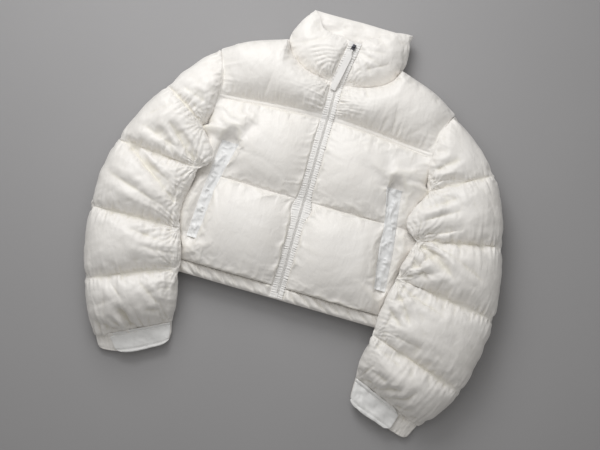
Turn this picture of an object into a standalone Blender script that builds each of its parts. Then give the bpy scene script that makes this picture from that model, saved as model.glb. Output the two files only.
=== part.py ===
"""A cropped puffer jacket with long sleeves, laid flat on its back with the front up.

Metres, +Z up. The jacket's own frame has x across it towards the wearer's left (0 at the zip),
y from the hem's edge (0) towards the collar, and z up from the surface it lies on. The parent
empty puts the part's origin on the flat underside of the back, REST_Y above the hem.

Each padded piece is a plain inner face with its quilted baffles raised on the outer side. The
fronts' inner faces and the back's lie on each other at the height MIDDLE. "left" and "right" are
the wearer's: left is +x.
"""

import math

import bmesh
import bpy
from mathutils import Vector

# ------------------------------------------------------------------ driving sizes
GAP = 0.0003                # between pieces at a seam
REST_Y = 0.130              # the origin, this far above the hem, on the back's flat face
MIDDLE = 0.0300             # height of the fronts' inner faces; the back's lie GAP lower

HEM_TOP = 0.028             # height of the hem band
LOW_SEAM = 0.227            # quilting seam between the two lower baffles
CHEST_SEAM = 0.415          # seam below the yoke, at the zip
CHEST_DROP = 0.021          # how much lower that seam is at the armhole
SEAM_BAND = 0.012           # flat double-stitched band above the chest seam
YOKE_HALF = 0.2455          # half-width of the yoke at the chest seam

FRONT_SEAM_Z = 0.050        # heights of the fronts: seams, baffle crests, side edge
FRONT_EDGE_Z = 0.036
FRONT_REACH = 0.080         # a baffle rolls off to its edges over this distance
BACK_SEAM_Z = 0.015         # heights of the back's underside
BACK_CREST_Z = -0.006       # below the surface: it settles flat on it
BACK_EDGE_Z = 0.022
BACK_REACH = 0.060

ZIP_HALF = 0.0145           # half-width of the flat strip that carries the zip
TAPE_THICK = 0.0018
COIL_WIDE = 0.0060
COIL_THICK = 0.0026
ZIP_LEAN = 0.013            # how far the closed zip leans to +x between neck seam and slider
NECK_Y = 0.502              # neck seam at the zip
ZIP_TOP_Y = 0.586           # the slider's place

ARMPIT_Y = 0.333
SHOULDER_Y = 0.508
ARMHOLE_RISE = 0.029        # how far the armhole's edge rises above and falls below MIDDLE

# a baffle's rows, as shares of its height, closer at its seams
DOME_STEPS = (0.0, 0.014, 0.05, 0.13, 0.24, 0.37, 0.5, 0.63, 0.76, 0.87, 0.95, 0.986, 1.0)

# (y, x) of the side seam up to the armpit, then of the armhole up to the shoulder's tip
SIDE = ((0.0, 0.234), (0.05, 0.2360), (0.12, 0.2465), (0.20, 0.2520), (0.27, 0.2538),
        (ARMPIT_Y, 0.2545))
ARMHOLE = ((ARMPIT_Y, 0.2545), (0.380, 0.246), (0.454, 0.251), (SHOULDER_Y, 0.274))

# (share of the yoke's width, x, y) along the front neckline, the back neck and the shoulder
NECK_SHARE = 0.56
FRONT_NECK = ((0.0, 0.0, NECK_Y), (0.18, 0.045, 0.506), (0.34, 0.085, 0.518), (0.46, 0.117, 0.540),
              (NECK_SHARE, 0.134, 0.572))
BACK_NECK = ((0.0, 0.0, 0.585), (0.30, 0.072, 0.582), (NECK_SHARE, 0.134, 0.572))
SHOULDER = ((NECK_SHARE, 0.134, 0.572), (0.80, 0.219, 0.542), (1.0, 0.274, SHOULDER_Y))

# crest heights of the fronts' baffles, from the hem up
CREST_Z = {"low": 0.091, "chest": 0.090, "yoke": 0.084}

# the hand pockets' welts: (y, inner edge x, outer edge x)
WELTS = {
    1: ((0.087, 0.2015, 0.2270), (0.172, 0.1900, 0.2200), (0.225, 0.1865, 0.2130),
        (0.302, 0.1690, 0.2040)),
    -1: ((0.087, 0.2040, 0.2270), (0.172, 0.1990, 0.2230), (0.234, 0.1905, 0.2180),
         (0.302, 0.1730, 0.2110)),
}
WELT_THICK = 0.0022
POCKET_Z = 0.056            # a pocket's flat place lies lower than the baffles beside it
POCKET_FADE_Y = 0.040
POCKET_FADE_X = 0.030

# soft troughs in the shell: x0, y0, x1, y1, depth, half-width
FOLDS = (
    (0.168, 0.306, 0.112, 0.335, 0.0070, 0.014),
    (0.176, 0.316, 0.150, 0.370, 0.0050, 0.013),
    (-0.172, 0.316, -0.142, 0.372, 0.0070, 0.014),
    (-0.192, 0.234, -0.150, 0.264, 0.0050, 0.013),
    (-0.318, 0.316, -0.238, 0.236, 0.0150, 0.017),
    (-0.365, 0.288, -0.285, 0.272, 0.0110, 0.016),
    (-0.403, 0.243, -0.277, 0.155, 0.0130, 0.017),
    (-0.330, -0.108, -0.271, -0.133, 0.0090, 0.015),
    (-0.305, 0.062, -0.248, 0.080, 0.0080, 0.015),
    (-0.290, 0.400, -0.268, 0.350, 0.0080, 0.015),
    (0.246, 0.104, 0.370, 0.090, 0.0080, 0.015),
    (0.262, 0.200, 0.335, 0.160, 0.0150, 0.017),
    (0.268, 0.232, 0.340, 0.266, 0.0110, 0.016),
    (0.236, 0.020, 0.305, 0.052, 0.0090, 0.016),
    (0.285, 0.322, 0.335, 0.290, 0.0080, 0.016),
    (0.275, 0.372, 0.300, 0.420, 0.0070, 0.015),
)

# sleeve seams, shoulder to cuff: x and y of the inner and the outer end, height of the top at the
# seam, rise of the baffle that follows, heights of the inner and the outer side
SLEEVE_SEAMS = {
    1: ((0.2600, 0.320, 0.393, 0.396, 0.080, 0.031, 0.055, 0.045),
        (0.2620, 0.206, 0.447, 0.246, 0.084, 0.031, 0.074, 0.050),
        (0.2410, 0.117, 0.469, 0.088, 0.082, 0.031, 0.070, 0.050),
        (0.2240, -0.015, 0.442, -0.083, 0.076, 0.029, 0.066, 0.046),
        (0.2190, -0.118, 0.378, -0.183, 0.025, 0.0, 0.012, 0.012)),
    -1: ((0.2620, 0.327, 0.363, 0.391, 0.080, 0.031, 0.055, 0.045),
         (0.2420, 0.228, 0.434, 0.243, 0.084, 0.031, 0.074, 0.050),
         (0.2430, 0.091, 0.448, 0.086, 0.082, 0.031, 0.070, 0.050),
         (0.2200, 0.009, 0.414, -0.071, 0.076, 0.029, 0.066, 0.046),
         (0.2090, -0.113, 0.364, -0.189, 0.025, 0.0, 0.012, 0.012)),
}
CAP_RISE = 0.024            # rise of the first baffle, between armhole and first seam
CUFF_END = {1: (0.218, -0.172, 0.360, -0.221), -1: (0.199, -0.156, 0.318, -0.222)}
SLEEVE_STEPS = (0.0, 0.05, 0.2, 0.42, 0.65, 0.86, 0.96)
SLEEVE_RING = 28            # points round a sleeve
SLEEVE_BULGE_OUT = 0.007    # a baffle stands this far past its seams on the outer side
# and on the inner side: the second one lies over the pocket, the third is pulled back
SLEEVE_BULGE_IN = {1: (0.0, 0.030, 0.002, 0.004, 0.005), -1: (0.0, 0.030, -0.010, 0.003, 0.005)}
SLEEVE_SEAM_LOW = 0.010     # the underside at a seam; between seams it settles flat
SLEEVE_SINK = 0.018
SLOT_HALF = 0.0015          # the sleeve's flattened inside, half its height
SLOT_SHARE = 0.72           # and its width, as a share of the sleeve's

CUFF_TOP = 0.020
CUFF_SIDE = 0.010
CUFF_SLOT = 0.0016
CUFF_STEPS = (0.0, 0.07, 0.3, 0.55, 0.8, 0.95, 1.0)
STRAP_THICK = 0.0024
STRAP_RING = {1: (5, 13), -1: (4, 13)}      # ring points that the strap lies on, tip to root

# the collar: (share of its height, x of its folded sides at +x and -x, height of the front's
# crest, of the sides and of the underside, half height of the neck's hollow)
COLLAR = (
    (0.00, 0.134, -0.134, 0.047, 0.0300, 0.014, 0.0008),
    (0.20, 0.138, -0.132, 0.066, 0.0330, 0.004, 0.0060),
    (0.50, 0.138, -0.122, 0.074, 0.0350, -0.004, 0.0100),
    (0.80, 0.135, -0.106, 0.072, 0.0340, 0.000, 0.0110),
    (1.00, 0.132, -0.094, 0.058, 0.0320, 0.010, 0.0110),
)
COLLAR_STEPS = (0.0, 0.06, 0.2, 0.4, 0.6, 0.8, 0.92, 0.98, 1.0)
COLLAR_LENS_Z = 0.034       # height of the neck hollow's middle
COLLAR_WALL = 0.014         # the padding at the collar's folded sides
COLLAR_LEAST = 0.0025       # and its least thickness elsewhere
# (share from the zip to the side, y) of the front's top edge, and of the back's from its middle
COLLAR_TOP = {
    1: ((0.0, 0.600), (0.35, 0.617), (0.62, 0.641), (1.0, 0.650)),
    -1: ((0.0, 0.600), (0.25, 0.605), (0.70, 0.613), (0.86, 0.636), (1.0, 0.648)),
}
COLLAR_BACK_TOP = ((0.0, 0.652), (1.0, 0.649))

# the slider, its link and the ribbon grip
SLIDER_LONG = 0.0125
SLIDER_WIDE = 0.0086
SLIDER_THICK = 0.0044
LINK_WIRE = 0.0006          # radius
LINK_LONG = 0.0100
LINK_WIDE = 0.0068
RIBBON_LONG = 0.096
RIBBON_HALF = 0.0056
RIBBON_NECK_HALF = 0.0024
RIBBON_THICK = 0.0010
RIBBON_SLOPE = math.radians(7.0)
PULL_HEADING = math.radians(-101.0)         # the direction in which the pull hangs, in plan

SHELL = ((0.87, 0.865, 0.845), 0.42, 0.0)   # colour, roughness, metallic
TRIM = ((0.84, 0.85, 0.86), 0.5, 0.0)
TAPE = ((0.80, 0.80, 0.785), 0.75, 0.0)
COIL = ((0.78, 0.78, 0.76), 0.45, 0.0)
GUNMETAL = ((0.10, 0.10, 0.11), 0.32, 1.0)


# ------------------------------------------------------------------ small maths
def blend(a, b, share):
    return a + (b - a) * share


def ease(share):
    """A soft step from 0 to 1."""
    share = min(max(share, 0.0), 1.0)
    return share * share * (3.0 - 2.0 * share)


def dome(share):
    """A padded baffle's rise between its two seams, 0 to 1."""
    return math.sqrt(max(0.0, 1.0 - (2.0 * share - 1.0) ** 2))


def roll(distance, reach):
    """A padded edge's rise, from 0 at the edge to 1 at reach."""
    share = min(max(distance / reach, 0.0), 1.0)
    return math.sqrt(1.0 - (1.0 - share) ** 2)


def through(rows, key):
    """The smooth curve through rows of (key, values...), read at key and held at its ends."""
    keys = [row[0] for row in rows]
    key = min(max(key, keys[0]), keys[-1])
    k = max(i for i in range(len(rows) - 1) if keys[i] <= key)
    span = keys[k + 1] - keys[k]
    s = (key - keys[k]) / span

    def slope(i, j):
        low, high = max(i - 1, 0), min(i + 1, len(rows) - 1)
        return (rows[high][j] - rows[low][j]) / (keys[high] - keys[low])

    values = []
    for j in range(1, len(rows[0])):
        rise = rows[k + 1][j] - rows[k][j]
        values.append(rows[k][j] + rise * s * s * (3 - 2 * s)
                      + span * slope(k, j) * s * (1 - s) ** 2
                      - span * slope(k + 1, j) * s * s * (1 - s))
    return values[0] if len(values) == 1 else values


def fold_depth(x, y):
    """How far the folds push the shell in at a point of the jacket's plan."""
    depth = 0.0
    for x0, y0, x1, y1, deep, half in FOLDS:
        along = Vector((x1 - x0, y1 - y0))
        share = (Vector((x - x0, y - y0)).dot(along)) / along.length_squared
        share = min(max(share, 0.0), 1.0)
        away = math.hypot(x - x0 - along.x * share, y - y0 - along.y * share)
        depth += deep * (0.45 + 0.55 * math.sin(math.pi * share)) * math.exp(-(away / half) ** 2)
    return depth


# ------------------------------------------------------------------ the jacket's outlines
def edge_x(y):
    """Half-width of the body: its side seam, then its armhole."""
    return through(SIDE, y) if y < ARMPIT_Y else through(ARMHOLE, y)


def armhole_swell(y):
    """0 at the armpit and the shoulder's tip, 1 half way up the armhole."""
    share = min(max((y - ARMPIT_Y) / (SHOULDER_Y - ARMPIT_Y), 0.0), 1.0)
    return (4.0 * share * (1.0 - share)) ** 0.45


def front_edge_z(y):
    return max(FRONT_EDGE_Z, MIDDLE + ARMHOLE_RISE * armhole_swell(y))


def back_edge_z(y):
    return min(BACK_EDGE_Z, MIDDLE - 0.8 * ARMHOLE_RISE * armhole_swell(y))


def drop_at(x):
    """How much lower the chest seam runs at x than at the zip."""
    return CHEST_DROP * (abs(x) / YOKE_HALF) ** 1.6


def zip_x(y):
    """The zip's line: straight up the body, leaning to +x in the collar."""
    return ZIP_LEAN * min(max((y - NECK_Y) / (ZIP_TOP_Y - NECK_Y), 0.0), 1.1)


def zip_bed(y):
    """Height of the flat strip that carries the zip."""
    if y <= HEM_TOP:
        return 0.040
    for low, high, rise in ((HEM_TOP, LOW_SEAM, 0.013), (LOW_SEAM, CHEST_SEAM, 0.013),
                            (CHEST_SEAM, NECK_Y, 0.009)):
        if y <= high:
            return 0.040 + 0.006 * ease((y - HEM_TOP) / 0.4) + rise * math.sin(
                math.pi * (y - low) / (high - low))
    share = (y - NECK_Y) / (ZIP_TOP_Y - NECK_Y)
    return 0.046 + 0.016 * math.sin(0.5 * math.pi * min(share * 1.25, 1.25))


def welt_edge(side, y, which):
    """x of a pocket welt's inner (0) or outer (1) edge, for the side's +x half."""
    return through(WELTS[side], y)[which]


# ------------------------------------------------------------------ making solids
def finish(bm, name, look):
    """Turns the faces outwards and puts the mesh in the scene as one named object."""
    bmesh.ops.recalc_face_normals(bm, faces=bm.faces)
    mesh = bpy.data.meshes.new(name)
    bm.to_mesh(mesh)
    bm.free()
    mesh.shade_smooth()
    mesh.set_sharp_from_angle(angle=math.radians(50))
    piece = bpy.data.objects.new(name, mesh)
    mesh.materials.append(MATERIALS[look])
    bpy.context.scene.collection.objects.link(piece)
    piece.parent = GARMENT
    return piece


def grid_of(bm, rows):
    """A sheet of quads through rows of points, all rows equally long."""
    count = len(rows[0])
    made = bmesh.ops.create_grid(bm, x_segments=count - 1, y_segments=len(rows) - 1, size=1.0)
    placed = {}
    for vert in made["verts"]:
        i = round((vert.co.x + 1.0) / 2.0 * (count - 1))
        j = round((vert.co.y + 1.0) / 2.0 * (len(rows) - 1))
        placed[vert] = rows[j][i]
    for vert, point in placed.items():
        vert.co = point
    return made["verts"]


def padded_panel(name, rows, plane, look):
    """The quilted outer side through rows of points, over a plain inner face at z = plane."""
    bm = bmesh.new()
    grid_of(bm, rows)
    rim = [edge for edge in bm.edges if edge.is_boundary]
    walls = bmesh.ops.extrude_edge_only(bm, edges=rim)["geom"]
    for vert in walls:
        if isinstance(vert, bmesh.types.BMVert):
            vert.co.z = plane
    inner = [edge for edge in bm.edges if edge.is_boundary]
    cap = bmesh.ops.contextual_create(bm, geom=inner)["faces"]
    bmesh.ops.poke(bm, faces=cap)
    return finish(bm, name, look)


def layer(name, rows, lift, thick, look):
    """A flat piece that lies on a panel: the panel's own points, lifted, and given a thickness."""
    bm = bmesh.new()
    grid_of(bm, [[point + Vector((0, 0, lift)) for point in row] for row in rows])
    grown = bmesh.ops.extrude_face_region(bm, geom=bm.faces[:])["geom"]
    for vert in grown:
        if isinstance(vert, bmesh.types.BMVert):
            vert.co.z += thick
    return finish(bm, name, look)


def hollow_body(name, outside, inside, look):
    """A tube's wall: closed rings of its outside in order, and of its inside in the same order."""
    rows = outside + inside[::-1] + outside[:1]
    bm = bmesh.new()
    grid_of(bm, [row + row[:1] for row in rows])
    bmesh.ops.remove_doubles(bm, verts=bm.verts, dist=1e-7)
    return finish(bm, name, look)


# ------------------------------------------------------------------ the fronts
def front_columns(side, y):
    """x of a front's grid columns at height y: zip strip, baffle, pocket welt, side edge."""
    inner, outer = welt_edge(side, y, 0), welt_edge(side, y, 1)
    edge = edge_x(y)
    strip = [GAP / 2, ZIP_HALF / 2, ZIP_HALF]
    open_width = [blend(ZIP_HALF, inner, share)
                  for share in (0.02, 0.075, 0.17, 0.29, 0.42, 0.55, 0.68, 0.80, 0.90, 0.965)]
    return strip + open_width + [inner, (inner + outer) / 2, outer,
                                 blend(outer, edge, 0.6), edge]


WELT_COLUMNS = (13, 16)     # the columns on a welt's two edges, first and past the last


def pocket_share(side, x, y):
    """1 on the flat place round a pocket welt, fading to 0 in the baffle."""
    low, high = WELTS[side][0][0], WELTS[side][-1][0]
    beyond = max(low - y, y - high, 0.0) / POCKET_FADE_Y
    short = max(welt_edge(side, y, 0) - x, 0.0) / POCKET_FADE_X
    return ease(1.0 - beyond) * ease(1.0 - short)


def front_z(side, x, y, share, crest):
    """Height of a front's outer side at x (always positive), y; share is from seam to seam."""
    edge = edge_x(y) - x
    rolled = roll(edge, FRONT_REACH)
    seam = blend(front_edge_z(y), FRONT_SEAM_Z, rolled)
    full = seam + max(crest - seam, 0.0) * dome(share) * rolled
    flat = blend(front_edge_z(y), POCKET_Z, rolled)
    full = blend(full, flat, pocket_share(side, x, y))
    rise = roll(x - ZIP_HALF, FRONT_REACH)
    z = blend(zip_bed(y), full, rise)
    z -= fold_depth(side * x, y) * rise * rolled
    return max(z, MIDDLE + 0.004)


def front_rows(side):
    """Points of a front's two baffles, rows from the hem seam to the chest seam."""
    rows = []
    for low, high, name in ((HEM_TOP, LOW_SEAM, "low"), (LOW_SEAM, CHEST_SEAM, "chest")):
        for share in DOME_STEPS if name == "low" else DOME_STEPS[1:]:
            at_zip = blend(low, high, share)
            at_zip = min(max(at_zip, HEM_TOP + GAP / 2), CHEST_SEAM - GAP / 2)
            falls = max(at_zip - LOW_SEAM, 0.0) / (CHEST_SEAM - LOW_SEAM)
            row = []
            for column in range(len(front_columns(side, at_zip))):
                x = front_columns(side, at_zip)[column]
                y = at_zip - drop_at(x) * falls
                x = front_columns(side, y)[column]
                row.append(Vector((side * x, y, front_z(side, x, y, share, CREST_Z[name]))))
            rows.append(row)
    return rows


def make_fronts():
    for side, word in ((1, "left"), (-1, "right")):
        rows = front_rows(side)
        padded_panel("front_" + word, rows, MIDDLE, "shell")
        low, high = WELTS[side][0][0], WELTS[side][-1][0]
        first, past = WELT_COLUMNS
        bed = [row[first:past] for row in rows if low - 0.012 < row[first].y < high + 0.008]
        layer("pocket_welt_" + word, bed, GAP + 0.0002, WELT_THICK, "trim")


# ------------------------------------------------------------------ the yoke
STRIP_SHARE = 0.059         # the yoke's share that the zip strip takes
NECK_SHARES = (0.0, STRIP_SHARE / 2, STRIP_SHARE, 0.075, 0.12, 0.20, 0.30, 0.40, 0.48, 0.53,
               NECK_SHARE)
YOKE_SHARES = NECK_SHARES + (0.64, 0.73, 0.82, 0.90, 0.96, 1.0)
YOKE_STEPS = (0.02, 0.08, 0.18, 0.31, 0.46, 0.62, 0.77, 0.89, 0.965, 1.0)


def upper_edge(share, neck):
    """x, y of the yoke's upper edge: along the neck, then along the shoulder."""
    return through(neck, share) if share <= NECK_SHARE else through(SHOULDER, share)


def yoke_point(share, lift, neck):
    """Plan of a yoke point: lift is (metres above the chest seam, share of what is left)."""
    low = Vector((YOKE_HALF * share, CHEST_SEAM - drop_at(YOKE_HALF * share) + GAP / 2))
    high = Vector(upper_edge(share, neck)) - Vector((0.0, GAP / 2))
    away, rest = lift
    first = away / (high - low).length
    spot = low.lerp(high, first + (1.0 - first) * rest)
    spot.x = blend(spot.x, edge_x(spot.y), share ** (4 + 40 * rest))
    if neck is FRONT_NECK and share <= STRIP_SHARE:
        spot.x = max(ZIP_HALF * share / STRIP_SHARE, GAP / 2)
    return spot


def yoke_z(side, share, spot, rest):
    end = FRONT_EDGE_Z + (0.010 if share < NECK_SHARE else 0.002)
    rolled = roll(edge_x(spot.y) - spot.x, FRONT_REACH)
    seam = blend(front_edge_z(spot.y), blend(FRONT_SEAM_Z, end, rest), rolled)
    full = seam + max(CREST_Z["yoke"] - seam, 0.0) * dome(rest) * rolled
    rise = roll(spot.x - ZIP_HALF, FRONT_REACH)
    z = blend(zip_bed(spot.y), full, rise) - fold_depth(side * spot.x, spot.y) * rise * rolled
    return max(z, MIDDLE + 0.004)


def make_yokes():
    lifts = [(0.0, 0.0), (SEAM_BAND * 0.5, 0.0), (SEAM_BAND, 0.0)]
    lifts += [(SEAM_BAND, step) for step in YOKE_STEPS]
    for side, word in ((1, "left"), (-1, "right")):
        rows = []
        for lift in lifts:
            row = []
            for share in YOKE_SHARES:
                spot = yoke_point(share, lift, FRONT_NECK)
                z = yoke_z(side, share, spot, lift[1])
                row.append(Vector((side * spot.x, spot.y, z)))
            rows.append(row)
        padded_panel("yoke_" + word, rows, MIDDLE, "shell")


# ------------------------------------------------------------------ the back
BACK_NECK_SHARES = (0.0, 0.14, 0.28, 0.40, 0.48, 0.53, NECK_SHARE)
BACK_SHARES = BACK_NECK_SHARES + (0.70, 0.82, 0.91, 0.97, 1.0)


def back_z(x, y, share):
    """Height of the back's underside; it settles flat where its baffles would reach lower."""
    rolled = roll(edge_x(min(y, SHOULDER_Y)) - x, BACK_REACH)
    seam = blend(back_edge_z(y), BACK_SEAM_Z, rolled)
    return max(0.0, seam + (BACK_CREST_Z - seam) * dome(share) * rolled)


def make_back():
    both_sides = [-share for share in BACK_SHARES[:0:-1]] + list(BACK_SHARES)
    plan = []
    for low, high in ((HEM_TOP, LOW_SEAM), (LOW_SEAM, CHEST_SEAM)):
        for step in DOME_STEPS if low == HEM_TOP else DOME_STEPS[1:]:
            y = max(blend(low, high, step), HEM_TOP + GAP / 2)
            falls = max(y - LOW_SEAM, 0.0) / (CHEST_SEAM - LOW_SEAM)
            row = []
            for share in both_sides:
                spot_y = y - drop_at(share * YOKE_HALF) * falls
                row.append((share * edge_x(spot_y), spot_y, step))
            plan.append(row)
    for step in YOKE_STEPS[1:]:
        row = []
        for share in both_sides:
            spot = yoke_point(abs(share), (0.0, step), BACK_NECK)
            row.append((math.copysign(spot.x, share) if share else 0.0, spot.y, step))
        plan.append(row)
    rows = [[Vector((x, y, back_z(abs(x), y, step))) for x, y, step in row] for row in plan]
    padded_panel("back_panel", rows, MIDDLE - GAP, "shell")


# ------------------------------------------------------------------ the hem band
HEM_STEPS = (0.0, 0.0025, 0.008, 0.015, 0.022, 0.0262, HEM_TOP - GAP / 2)
HEM_LUMP = 0.0400           # length of one soft lump along the gathered band
HEM_THICK = 0.013


def hem_z(x, y, thick):
    """How far the band stands off the inner plane."""
    across = roll(y + 0.0015, 0.011) * roll(HEM_TOP + 0.0015 - y, 0.008)
    lump = 1.0 + 0.10 * math.sin(2.0 * math.pi * x / HEM_LUMP + 40.0 * y)
    return max(0.0025, thick * across * lump * (0.35 + 0.65 * roll(edge_x(y) - abs(x), 0.02)))


def make_hems():
    for side, word in ((1, "left"), (-1, "right")):
        rows = []
        for y in HEM_STEPS:
            shares = [0.0, 0.031, ZIP_HALF / edge_x(y)]
            shares += [0.08 + 0.92 * k / 18 for k in range(19)]
            row = []
            for share in shares:
                x = max(share * edge_x(y), GAP / 2)
                z = MIDDLE + hem_z(side * x, y, HEM_THICK)
                bed = min(zip_bed(y), MIDDLE + hem_z(side * ZIP_HALF, y, HEM_THICK))
                row.append(Vector((side * x, y, blend(bed, z, ease((x - ZIP_HALF) / 0.01)))))
            rows.append(row)
        padded_panel("hem_" + word, rows, MIDDLE, "shell")
    rows = []
    for y in HEM_STEPS:
        row = []
        for k in range(37):
            x = edge_x(y) * (k / 18 - 1.0)
            row.append(Vector((x, y, MIDDLE - GAP - hem_z(x + 0.013, y, HEM_THICK))))
        rows.append(row)
    padded_panel("hem_back", rows, MIDDLE - GAP, "shell")


# ------------------------------------------------------------------ the sleeves
def seam_rows(side):
    """The armhole and the five seams as (inner x, y, outer x, y, top, rise, inner z, outer z)."""
    armhole = (ARMHOLE[0][1], ARMPIT_Y, ARMHOLE[-1][1], SHOULDER_Y,
               MIDDLE + ARMHOLE_RISE, CAP_RISE, MIDDLE, MIDDLE)
    return (armhole,) + SLEEVE_SEAMS[side]


def sleeve_plan(side, baffle, share, across):
    """x, y of a sleeve point; across is -1 at the inner side and 1 at the outer side."""
    here, there = seam_rows(side)[baffle:baffle + 2]
    width = (1.0 + across) / 2.0
    near = Vector((blend(here[0], here[2], width), blend(here[1], here[3], width)))
    if baffle == 0:
        near.x = through(ARMHOLE, near.y) + 3.0 * GAP
    far = Vector((blend(there[0], there[2], width), blend(there[1], there[3], width)))
    spot = near.lerp(far, share)
    outward = Vector((there[2] - there[0], there[3] - there[1])).normalized()
    bulge = SLEEVE_BULGE_OUT * dome(share)
    if across < 0:
        bulge = SLEEVE_BULGE_IN[side][baffle] * math.sin(math.pi * share ** 1.3)
    return spot + outward * across * bulge * abs(across)


def sleeve_ring(side, baffle, share):
    """One closed ring of a sleeve's outside, from its outer side over the top."""
    here, there = seam_rows(side)[baffle:baffle + 2]
    crest = blend(here[4], there[4], share) + here[5] * dome(share)
    seam_low = blend(MIDDLE - ARMHOLE_RISE * 0.8, SLEEVE_SEAM_LOW, share) if baffle == 0 \
        else SLEEVE_SEAM_LOW * (1.0 - share if baffle == 4 else 1.0)
    low = seam_low - SLEEVE_SINK * dome(share)
    ring = []
    for k in range(SLEEVE_RING):
        angle = 2.0 * math.pi * k / SLEEVE_RING
        across = math.cos(angle)
        height = abs(math.sin(angle))
        spot = sleeve_plan(side, baffle, share, across)
        side_in = blend(here[6], there[6], share)
        side_out = blend(here[7], there[7], share)
        side_z = blend(side_in, side_out, (1.0 + across) / 2.0)
        if k < SLEEVE_RING // 2:
            z = side_z + (crest - side_z) * height ** 0.9
            z -= fold_depth(side * spot.x, spot.y) * min(1.0, 1.5 * height)
        else:
            inner_cut = blend(1.5, 3.0, dome(share)) if baffle == 1 else 1.5
            undercut = blend(inner_cut, 0.6, (1.0 + across) / 2.0) if baffle else 0.9
            z = max(0.0, side_z - (side_z - low) * height ** undercut)
        ring.append(Vector((side * spot.x, spot.y, z)))
    return ring


def sleeve_inside(side, baffle, share):
    """One ring of the flattened hollow in a sleeve."""
    here, there = seam_rows(side)[baffle:baffle + 2]
    crest = blend(here[4], there[4], share)
    ring = []
    for k in range(SLEEVE_RING):
        angle = 2.0 * math.pi * k / SLEEVE_RING
        spot = sleeve_plan(side, baffle, share, SLOT_SHARE * math.cos(angle))
        z = blend(MIDDLE, crest * 0.45, min(baffle + share, 1.0)) + SLOT_HALF * math.sin(angle)
        ring.append(Vector((side * spot.x, spot.y, z)))
    return ring


def make_sleeves():
    for side, word in ((1, "left"), (-1, "right")):
        outside = [sleeve_ring(side, baffle, share)
                   for baffle in range(5) for share in SLEEVE_STEPS]
        outside.append(sleeve_ring(side, 4, 1.0))
        inside = [sleeve_inside(side, baffle, 0.0) for baffle in range(5)]
        inside.append(sleeve_inside(side, 4, 1.0))
        hollow_body("sleeve_" + word, outside, inside, "shell")


# ------------------------------------------------------------------ the cuffs
def cuff_ring(side, share, scale, half_height):
    """A ring of a cuff: its outside where scale is 1, or its slot."""
    seam = SLEEVE_SEAMS[side][-1]
    end = CUFF_END[side]
    drop = Vector((end[0] - seam[0] + end[2] - seam[2], end[1] - seam[1] + end[3] - seam[3]))
    step_off = drop.normalized() * GAP * 1.5
    ring = []
    for k in range(SLEEVE_RING):
        angle = 2.0 * math.pi * k / SLEEVE_RING
        width = (1.0 + scale * math.cos(angle)) / 2.0
        start = Vector((blend(seam[0], seam[2], width), blend(seam[1], seam[3], width)))
        stop = Vector((blend(end[0], end[2], width), blend(end[1], end[3], width)))
        spot = start.lerp(stop, share) + step_off * (1.0 - share)
        flat = abs(math.sin(angle)) ** 0.55
        z = CUFF_SIDE + math.copysign(half_height * flat, math.sin(angle))
        ring.append(Vector((side * spot.x, spot.y, max(z, 0.0))))
    return ring


def make_cuffs():
    for side, word in ((1, "left"), (-1, "right")):
        puffs = [(CUFF_TOP - CUFF_SIDE) * (0.78 + 0.22 * dome(share)) for share in CUFF_STEPS]
        outside = [cuff_ring(side, share, 1.0, puff) for share, puff in zip(CUFF_STEPS, puffs)]
        inside = [cuff_ring(side, share, 0.88, CUFF_SLOT) for share in (0.0, 0.5, 1.0)]
        hollow_body("cuff_" + word, outside, inside, "shell")
        tip, root = STRAP_RING[side]
        bed = [ring[tip:root + 1] for ring in outside[1:-1]]
        layer("cuff_strap_" + word, bed, GAP + 0.0003, STRAP_THICK, "trim")


# ------------------------------------------------------------------ the collar
def collar_arch(across):
    """1 at the collar's middle, falling to 0 at its folded side."""
    return math.sqrt(max(0.0, 1.0 - abs(across) ** 2.4))


def collar_wall(point, height, reach):
    """The inside face's point across the wall from an outer one; reach is below 0 at the back."""
    row = through(COLLAR, height)
    inward = min(COLLAR_WALL, max(0.0, abs(point.x) - 0.085) * 0.5)
    inward *= blend(0.08 if reach >= 0.0 else 0.0, 1.0, ease(height / 0.25))
    z = COLLAR_LENS_Z - 0.0035 * (1.0 - height) + row[5] * reach
    if reach == 0.0:
        z = point.z
    elif reach > 0.0:
        z = min(z, point.z - COLLAR_LEAST * ease(height / 0.1))
    else:
        z = max(z, point.z + COLLAR_LEAST * ease(height / 0.1))
    return Vector((point.x - math.copysign(inward, point.x), point.y, z))


def collar_front(side, height, share):
    """A point of the front's outside; share is the yoke's, so that the neck seam meets it."""
    row = through(COLLAR, height)
    side_x = row[0] if side > 0 else -row[1]
    base_x, base_y = upper_edge(share, FRONT_NECK)
    across = 0.0 if share <= STRIP_SHARE else base_x / FRONT_NECK[-1][1]
    y = blend(base_y + GAP / 2, through(COLLAR_TOP[side], across), height)
    start = side * zip_x(blend(NECK_Y, COLLAR_TOP[side][0][1], height))
    if share <= STRIP_SHARE:
        x = start + max(ZIP_HALF * share / STRIP_SHARE, GAP / 2)
        return Vector((side * x, y, zip_bed(y)))
    x = start + blend(ZIP_HALF, side_x - start, (base_x - ZIP_HALF) / (FRONT_NECK[-1][1] - ZIP_HALF))
    z = blend(row[3], row[2], collar_arch(across))
    z = blend(zip_bed(y), z, roll(x - start - ZIP_HALF, 0.035))
    return Vector((side * x, y, z))


def collar_back(height, share):
    """A point of the back's outside, which lies on the surface; share is the back's, signed."""
    row = through(COLLAR, height)
    base_x, base_y = upper_edge(abs(share), BACK_NECK)
    across = math.copysign(base_x / BACK_NECK[-1][1], share) if share else 0.0
    y = blend(base_y + GAP / 2, through(COLLAR_BACK_TOP, abs(across)), height)
    x = blend(row[1], row[0], (1.0 + across) / 2.0)
    z = max(0.0, blend(row[3], row[4], collar_arch(across) ** 0.7))
    return Vector((x, y, z)), across


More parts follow.
